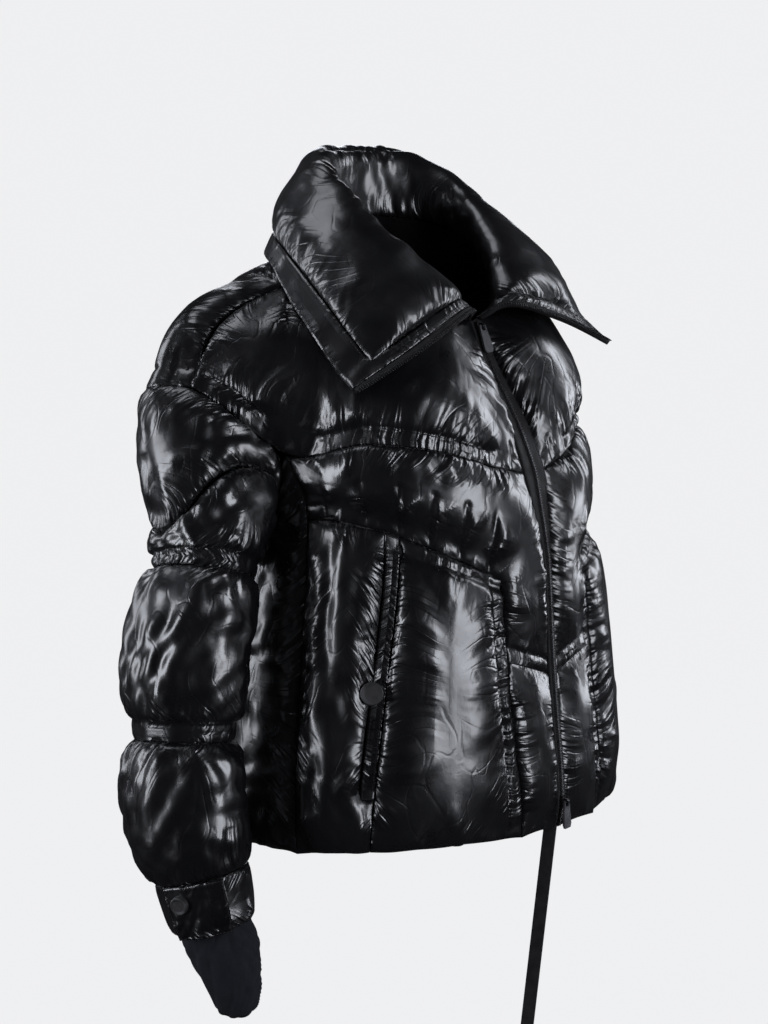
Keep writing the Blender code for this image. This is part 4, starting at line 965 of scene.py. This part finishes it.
class JacketTrim(bpy.types.PropertyGroup):
    """Sizes of the zip teeth, the stitches, the slack in small pieces and the strap."""

    tooth_pitch: length("Tooth Pitch", 0.0026, "Spacing of a zip's teeth on one side")
    tooth_length: length("Tooth Length", 0.0042, "Length of a tooth across the zip")
    stitch_pitch: length("Stitch Pitch", 0.0034, "Spacing of the stitches")
    knit_slack: length("Knit Slack", 0.0022, "Height of the soft folds in the knit cuffs")
    tab_slack: length("Tab Slack", 0.0020, "Height of the wrinkles in the cuffs' tabs")
    strap_spread: length("Strap Spread", 0.0040, "Half the gap between the strap's two runs")


class JacketStage(bpy.types.PropertyGroup):
    """Where the camera stands."""

    azimuth: plain("Azimuth", math.radians(-45), "Camera's turn round the jacket", "ANGLE")
    elevation: plain("Elevation", math.radians(7), "Camera's height as an angle", "ANGLE")
    distance: length("Distance", 3.0, "Camera to its target")
    lens: bpy.props.FloatProperty(
        name="Lens", description="Focal length", default=105.47, unit="CAMERA"
    )
    target: bpy.props.FloatVectorProperty(
        name="Target", description="Point that the camera looks at",
        default=(-0.0399, -0.0032, -0.2481), size=3, subtype="TRANSLATION",
    )


# ---------------------------------------------------------------- operators


class JACKET_OT_padded_panels(bpy.types.Operator):
    """Make every padded panel: swollen nylon, puckered at its seams, over its lining"""

    bl_idname = "jacket.padded_panels"
    bl_label = "Padded Panels"

    def execute(self, context):
        cloth = context.scene.jacket_cloth
        panels, points, faces, pins, spare, count = [], [], [], [], [], 0
        for name, (_, _, slack) in PADDED.items():
            shell, lining = solid_faces(name)
            fine, weights = smoothed(shell, 2, self.held_down(shell, lining))
            co, normals = co_of(fine), normals_of(fine)
            if name.startswith("pocket_front"):
                row = row_below_top(fine)
                weights[row] = 1.0
                co[row] -= normals[row] * POCKET_BAND_DEPTH
                move_to(fine, co)
            lift = self.seeded(name, fine, weights, co, cloth)
            points.append(co + normals * lift[:, None])
            panels.append((name, fine, lining, weights, co, normals, count))
            faces += [tuple(count + v for v in f.vertices) for f in fine.polygons]
            pins.append(weights > SEWN)
            spare.append(np.full(len(co), slack / FULLEST))
            count += len(co)
        swollen = np.concatenate(points)
        pins, spare = np.concatenate(pins), np.concatenate(spare)
        swollen = pressed_cloth(swollen, faces, pins, spare, cloth)
        pitch, self.stitches = context.scene.jacket_trim.stitch_pitch, []
        for name, fine, lining, weights, rest, normals, start in panels:
            move = swollen[start:start + len(rest)] - rest
            self.dress(name, fine, lining, weights, rest, normals, move, cloth, pitch)
        stitches_piece("panel_stitches", self.stitches, pitch)
        return {"FINISHED"}

    def held_down(self, shell, lining):
        """1 at each point that is sewn: at an open edge, or with hardly any down under it."""
        tree = surface_of(lining)
        open_points = {v for ends in border_edges(shell) for v in ends}
        return np.array([
            1.0 if v.index in open_points or tree.find_nearest(v.co)[3] < STITCHED else 0.0
            for v in shell.vertices
        ])

    def seeded(self, name, fine, weights, co, cloth):
        """How far the cloth starts off its solid: folds off the seams, and facets all over."""
        seams = Seams(fine, weights, seed_of(name))
        free = np.clip(1.0 - weights, 0.0, 1.0) * near_hardware(co, reach=0.02)
        pitch, (longer, reach) = cloth.fold_pitch, LONG_FOLD
        folds = ridges(seams.s, seams.d, pitch, salt=5.0)
        lift = folds * fading(seams.d, FOLD_REACH) * cloth.fold_height
        folds = ridges(seams.s, seams.d, pitch * longer, salt=8.0)
        lift += folds * fading(seams.d, reach) * cloth.fold_height
        lift *= seams.calm
        if name in CRUMPLED:
            lean, share = CRUMPLED[name]
            facets = crumples(co, cloth.crumple_size, seed_of(name), lean)
            lift += facets * cloth.crumple_height * share
        return lift * np.minimum(free * 3.0, 1.0)

    def dress(self, name, fine, lining, weights, rest, normals, move, cloth, pitch):
        """Hold a panel's swelling in bounds, pucker it and sew it to its lining."""
        fill, highest, _ = PADDED[name]
        out = (move * normals).sum(axis=1)
        aside = move - normals * out[:, None]
        clear = near_hardware(rest, reach=0.025)
        top = highest * (LIFT_SHARE + (1.0 - LIFT_SHARE) * clear)
        low = cloth.pressed_in
        held = np.where(out > 0, top * np.tanh(out / top), -low * np.tanh(-out / low))
        slide = np.linalg.norm(aside, axis=1) + TINY
        aside *= (SLIP * np.tanh(slide / SLIP) / slide)[:, None]
        move_to(fine, rest + normals * held[:, None] + aside)
        finer, weights = smoothed(fine, 1, weights)
        seams = Seams(finer, weights, seed_of(name) + 1)
        co, outward = co_of(finer), normals_of(finer)
        small = min(1.0, highest / THIN)
        wide, narrow = PATCHES
        patchy = 0.55 + 0.75 * wander(seams.s / wide, 6.0) * wander(seams.s / narrow + 0.5, 7.0)
        longer, reach = LONG_PUCKER
        puckers = ridges(seams.s, seams.d, cloth.pucker_pitch, salt=2.0)
        lift = puckers * fading(seams.d, PUCKER_REACH)
        puckers = ridges(seams.s, seams.d, cloth.pucker_pitch * longer, salt=4.0)
        lift += puckers * fading(seams.d, reach) * patchy
        lift *= cloth.pucker_height * small * seams.calm
        lift -= cloth.groove * small * np.exp(-((seams.d / GROOVE_WIDTH) ** 2))
        co += outward * (lift * near_hardware(co, reach=0.012))[:, None]
        move_to(finer, co)
        if name.startswith(TOPSTITCHED):
            self.stitches += stitch_row(finer, TOPSTITCH_HEM, pitch)
        lining, _ = smoothed(lining, 1)
        mesh = whole_wall(name + "_cloth", finer, lining, seams, SEAM_LAP)
        material = "collar_nylon" if name.startswith("collar") else "shell_nylon"
        piece = add_piece(name + "_cloth", mesh, material, nodes=[name])


class JACKET_OT_flat_pieces(bpy.types.Operator):
    """Make the flat pieces: zip tapes and the cuffs' tabs"""

    bl_idname = "jacket.flat_pieces"
    bl_label = "Tapes and Tabs"

    def execute(self, context):
        trim, stitches = context.scene.jacket_trim, []
        for name in FLAT:
            shell, lining = solid_faces(name)
            tab = name.startswith("cuff_tab")
            levels = 4 if tab else 2
            fine, _ = smoothed(shell, levels)
            under, _ = smoothed(lining, levels)
            co = co_of(fine)
            half_way_round = sum(np.linalg.norm(co[a] - co[b]) for a, b in border_edges(fine)) / 2
            seams = self.wrinkled(name, fine, co, trim) if tab else None
            if not name.startswith("collar_zip"):
                stitches += stitch_row(fine, TAB_HEM if tab else TAPE_HEM, trim.stitch_pitch)
            mesh = whole_wall(name + "_cloth", fine, under, seams)
            piece = add_piece(
                name + "_cloth", mesh, "shell_nylon" if tab else "zip_twill",
                nodes=[name],
            )
        stitches_piece("trim_stitches", stitches, trim.stitch_pitch)
        return {"FINISHED"}

    def wrinkled(self, name, fine, co, trim):
        """Wrinkle a tab between its rim and its snap, and give its seams."""
        seams = Seams(fine, np.zeros(len(co)), seed_of(name))
        slack = crumples(co, *TAB_CREASES) * trim.tab_slack
        slack *= np.clip(seams.d / TAB_RIM, 0.0, 1.0) * near_hardware(co, reach=0.006)
        move_to(fine, co + normals_of(fine) * (slack + 0.4 * np.abs(slack))[:, None])
        return seams


class JACKET_OT_zip_teeth(bpy.types.Operator):
    """Make the teeth of the front zip and of the collar's open zip"""

    bl_idname = "jacket.zip_teeth"
    bl_label = "Zip Teeth"

    def execute(self, context):
        trim = context.scene.jacket_trim
        points, normals = self.edge_points("front_zip_tape_right")
        others, _ = self.edge_points("front_zip_tape_left")
        gaps = np.linalg.norm(points[:, None] - others[None], axis=2)
        near = gaps.min(axis=1) < ZIP_GAP
        order = np.argsort(-points[near][:, 2])
        across = others[gaps.argmin(axis=1)][near][order]
        middle, normals = (points[near][order] + across) / 2, normals[near][order]
        teeth = []
        for sign, start in ((-1.0, ZIP_TOP), (1.0, ZIP_TOP + trim.tooth_pitch / 2)):
            teeth += self.row(middle, normals, sign, start, ZIP_RISE, trim)
        teeth_piece("front_zip_teeth", teeth, trim)
        for side in SIDES:
            points, normals = self.edge_points(f"collar_zip_{side}")
            cloth = surface_of(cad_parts[f"collar_border_{side}"].data)
            found = [cloth.find_nearest(p) for p in points]
            gaps = np.array([hit[3] for hit in found])
            free = longest_run(gaps > 0.6 * np.percentile(gaps, 90))
            towards = np.array([hit[0] for hit in found])[free]
            line, normals = points[free], normals[free]
            sides = np.cross(np.gradient(line, axis=0), normals)
            sign = -1.0 if ((towards - line) * sides).sum() > 0 else 1.0
            teeth = self.row(line, normals, sign, ZIP_END, 0.0, trim)
            teeth_piece(f"collar_zip_teeth_{side}", teeth, trim)
        return {"FINISHED"}

    def edge_points(self, node):
        """The open edge of a tape's face, in order, with its normals."""
        shell, _ = solid_faces(node)
        fine, _ = smoothed(shell, 2)
        loop = border_loops(fine)[0]
        return co_of(fine)[loop], normals_of(fine)[loop]

    def row(self, line, normals, sign, start, rise, trim):
        """Places for a row of teeth along a line: centre, along, across and up."""
        along = lengths_along(line)
        places = np.arange(start, along[-1] - ZIP_END, trim.tooth_pitch)

        def at(where, values):
            return np.stack([np.interp(where, along, values[:, i]) for i in range(3)], axis=1)

        forward = unit(at(places + ZIP_STEP, line) - at(places - ZIP_STEP, line))
        up = at(places, normals)
        up = unit(up - forward * (up * forward).sum(axis=1)[:, None])
        across = np.cross(forward, up) * sign
        centre = at(places, line) + across * (trim.tooth_length * ZIP_REACH) + up * rise
        return list(zip(centre, forward, across, up))


def longest_run(chosen):
    """The places of the longest unbroken stretch of chosen points round a loop."""
    count = len(chosen)
    runs = []
    for start in (i for i in range(count) if chosen[i] and not chosen[i - 1]):
        run = []
        while chosen[(start + len(run)) % count] and len(run) < count:
            run.append((start + len(run)) % count)
        runs.append(run)
    return max(runs, key=len)


class JACKET_OT_knit_cuffs(bpy.types.Operator):
    """Make the ribbed knit cuffs"""

    bl_idname = "jacket.knit_cuffs"
    bl_label = "Knit Cuffs"

    def execute(self, context):
        trim = context.scene.jacket_trim
        for side in SIDES:
            name = f"knit_cuff_{side}"
            shell, lining = solid_faces(name)
            fine, _ = smoothed(shell, 3)
            under, _ = smoothed(lining, 3)
            ribs = np.where(tube_columns(fine) % 2 == 0, KNIT_RIB, -KNIT_RIB)
            for mesh, outward, rib in ((fine, 1.0, ribs), (under, -1.0, 0.0)):
                co = co_of(mesh)
                slack = crumples(co, *KNIT_CREASES) * trim.knit_slack
                slack *= np.clip((co[:, 2].max() - co[:, 2]) / KNIT_HEM, 0.0, 1.0)
                move_to(mesh, co + normals_of(mesh) * outward * (slack + rib)[:, None])
            mesh = whole_wall(name + "_cloth", fine, under)
            piece = add_piece(name + "_cloth", mesh, "knit_yarn", nodes=[name])
        return {"FINISHED"}


def tube_columns(mesh):
    """The column of each point of a tube of quads, counted round its first open edge."""
    loop = border_loops(mesh)[0]
    columns = np.full(len(mesh.vertices), -1, np.int64)
    columns[loop] = np.arange(len(loop))
    around = {}
    for face in mesh.polygons:
        for v in face.vertices:
            around.setdefault(v, []).append(tuple(face.vertices))
    row = loop
    while row:
        found = {}
        for v in row:
            for quad in around[v]:
                i = quad.index(v)
                after, before = quad[(i + 1) % 4], quad[(i - 1) % 4]
                for w, far in ((after, before), (before, after)):
                    if columns[w] < 0 and columns[far] >= 0 and columns[far] != columns[v]:
                        found[w] = columns[v]
        for w, column in found.items():
            columns[w] = column
        row = list(found)
    return columns


class JACKET_OT_hardware(bpy.types.Operator):
    """Finish the snaps, sliders and pulls"""

    bl_idname = "jacket.hardware"
    bl_label = "Hardware"

    def execute(self, context):
        finishes = {"snap": "snap_enamel", "slider": "slider_metal", "pull": "pull_rubber"}
        for name in HARD:
            material = next(finishes[kind] for kind in finishes if kind in name)
            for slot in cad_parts[name].material_slots:
                slot.material = finish(material)
        return {"FINISHED"}


class JACKET_OT_strap(bpy.types.Operator):
    """Make the strap: ribbed webbing from inside the jacket, down round a fold and back up"""

    bl_idname = "jacket.strap"
    bl_label = "Strap"

    def execute(self, context):
        spread = context.scene.jacket_trim.strap_spread
        top, foot = np.array(STRAP_TOP), np.array(STRAP_FOOT)
        length = float(np.linalg.norm(foot - top))
        run = (foot - top) / length
        aside = np.cross(run, np.cross(STRAP_FACE, run))
        aside /= np.linalg.norm(aside)
        away = np.cross(run, aside)
        shares = np.linspace(0.0, 1.0, STRAP_STEPS)
        bows = away * (spread * np.minimum(1.0, 0.25 + 3.0 * shares))[:, None]
        centre = top + run * (length * shares)[:, None]
        bend = np.linspace(0.0, math.pi, FOLD_STEPS)[1:-1]
        fold = foot + spread * (np.cos(bend)[:, None] * away + np.sin(bend)[:, None] * run)
        middle = np.concatenate([centre + bows, fold, (centre - bows)[::-1]])
        lifts = np.cross(aside, unit(np.gradient(middle, axis=0)))
        wide, thick = STRAP_SIZE[0] / 2, STRAP_SIZE[1] / 2
        places = np.linspace(-0.94, 0.94, STRAP_RIBS)
        heights = np.where(np.arange(STRAP_RIBS) % 2 == 0, 0.72, 1.0)
        section = [(-1.0, 0.0), *zip(places, heights), (1.0, 0.0), *zip(places[::-1], -heights)]
        count = len(section)
        points = [
            tuple(centre + aside * side * wide + lift * rise * thick)
            for centre, lift in zip(middle, lifts) for side, rise in section
        ]
        faces = []
        for base in range(0, count * (len(middle) - 1), count):
            for k in range(count):
                a, b = base + k, base + (k + 1) % count
                faces.append((a, b, b + count, a + count))
        last = count * (len(middle) - 1)
        faces += [tuple(range(count))[::-1], tuple(range(last, last + count))]
        name = "strap_loop_webbing"
        mesh = faced_out(mesh_of(name, points, faces))
        piece = add_piece(name, mesh, "webbing_weave", nodes=["strap_loop"])
        return {"FINISHED"}


class JACKET_OT_stage(bpy.types.Operator):
    """Set the pale floor, the soft lights and the camera"""

    bl_idname = "jacket.stage"
    bl_label = "Stage"

    def execute(self, context):
        scene = context.scene
        self.backdrop(scene, CAD_BOX[0].z - FLOOR_GAP)
        world = bpy.data.worlds.new("studio")
        world.use_nodes = True
        background = world.node_tree.nodes["Background"]
        background.inputs["Color"].default_value = (0.90, 0.93, 1.0, 1.0)
        background.inputs["Strength"].default_value = 0.02
        scene.world = world
        for name, (degrees, height, away, wide, tall, power) in SOFT_BOXES.items():
            a = math.radians(degrees)
            place = (away * math.sin(a), -away * math.cos(a), height)
            self.light(scene, name, place, wide, tall, power)
        self.light(scene, "top_box", *TOP_BOX)
        self.camera(scene, scene.jacket_stage)
        scene.view_settings.view_transform = "Standard"
        return {"FINISHED"}

    def backdrop(self, scene, floor_z):
        """A pale floor that sweeps up to a wall all round."""
        profile = [(BOWL_FLOOR, 0.0)]
        profile += [
            (BOWL_FLOOR + BOWL_CURVE * math.sin(a), BOWL_CURVE * (1 - math.cos(a)))
            for a in np.linspace(0.1, math.pi / 2, BOWL_STEPS)
        ]
        profile += [(BOWL_FLOOR + BOWL_CURVE, BOWL_CURVE * 1.6)]
        turns = [math.tau * k / BOWL_SIDES for k in range(BOWL_SIDES)]
        points = [(0.0, 0.0, floor_z)]
        for reach, rise in profile:
            points += [(reach * math.cos(a), reach * math.sin(a), floor_z + rise) for a in turns]
        faces = [(0, 1 + k, 1 + (k + 1) % BOWL_SIDES) for k in range(BOWL_SIDES)]
        for base in range(1, 1 + BOWL_SIDES * (len(profile) - 1), BOWL_SIDES):
            for k in range(BOWL_SIDES):
                a, b = base + k, base + (k + 1) % BOWL_SIDES
                faces.append((a, a + BOWL_SIDES, b + BOWL_SIDES, b))
        mesh = mesh_of("backdrop", points, faces)
        mesh.shade_smooth()
        mat, _, shader = new_material("pale_paper")
        shader.inputs["Roughness"].default_value = 0.9
        shader.inputs["Specular IOR Level"].default_value = 0.0
        shader.inputs["Base Color"].default_value = (0.004, 0.004, 0.004, 1.0)
        shader.inputs["Emission Color"].default_value = (0.965, 0.970, 0.985, 1.0)
        shader.inputs["Emission Strength"].default_value = 0.89
        mesh.materials.append(mat)
        backdrop = bpy.data.objects.new("backdrop", mesh)
        backdrop.visible_glossy = False
        scene.collection.objects.link(backdrop)

    def light(self, scene, name, place, wide, tall, power):
        """A soft box that looks at the jacket."""
        lamp = bpy.data.lights.new(name, "AREA")
        lamp.shape = "RECTANGLE"
        lamp.size, lamp.size_y = wide, tall
        lamp.energy = power
        lamp.color = LAMP_COLOR
        obj = bpy.data.objects.new(name, lamp)
        obj.location = place
        obj.rotation_euler = (LAMP_AIM - Vector(place)).to_track_quat("-Z", "Y").to_euler()
        scene.collection.objects.link(obj)

    def camera(self, scene, stage):
        """The camera, at its turn and height, looking at its target."""
        camera = bpy.data.cameras.new("camera")
        camera.lens = stage.lens
        eye = bpy.data.objects.new("camera", camera)
        scene.collection.objects.link(eye)
        back = Vector((
            math.sin(stage.azimuth) * math.cos(stage.elevation),
            -math.cos(stage.azimuth) * math.cos(stage.elevation),
            math.sin(stage.elevation),
        ))
        eye.location = Vector(stage.target) + back * stage.distance
        eye.rotation_euler = (-back).to_track_quat("-Z", "Y").to_euler()
        scene.camera = eye


OPERATORS = (
    JACKET_OT_stage,
    JACKET_OT_padded_panels,
    JACKET_OT_flat_pieces,
    JACKET_OT_zip_teeth,
    JACKET_OT_knit_cuffs,
    JACKET_OT_hardware,
    JACKET_OT_strap,
)
SETTINGS = (
    ("jacket_cloth", JacketCloth),
    ("jacket_finish", JacketFinish),
    ("jacket_trim", JacketTrim),
    ("jacket_stage", JacketStage),
)


class JACKET_PT_panel(bpy.types.Panel):
    """Lists the jacket's operators and settings"""

    bl_label = "Puffer Jacket"
    bl_idname = "JACKET_PT_panel"
    bl_space_type = "VIEW_3D"
    bl_region_type = "UI"
    bl_category = "Jacket"

    def draw(self, context):
        for operator in OPERATORS:
            self.layout.operator(operator.bl_idname)
        for name, group in SETTINGS:
            box = self.layout.box()
            for field in group.__annotations__:
                box.prop(getattr(context.scene, name), field)


def register():
    for name, group in SETTINGS:
        bpy.utils.register_class(group)
        setattr(bpy.types.Scene, name, bpy.props.PointerProperty(type=group))
    for cls in (*OPERATORS, JACKET_PT_panel):
        bpy.utils.register_class(cls)


def unregister():
    for cls in reversed((*OPERATORS, JACKET_PT_panel)):
        bpy.utils.unregister_class(cls)
    for name, group in reversed(SETTINGS):
        delattr(bpy.types.Scene, name)
        bpy.utils.unregister_class(group)


def main():
    """Register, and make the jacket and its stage."""
    register()
    for operator in OPERATORS:
        group, call = operator.bl_idname.split(".")
        getattr(getattr(bpy.ops, group), call)()


if __name__ == "__main__":
    main()
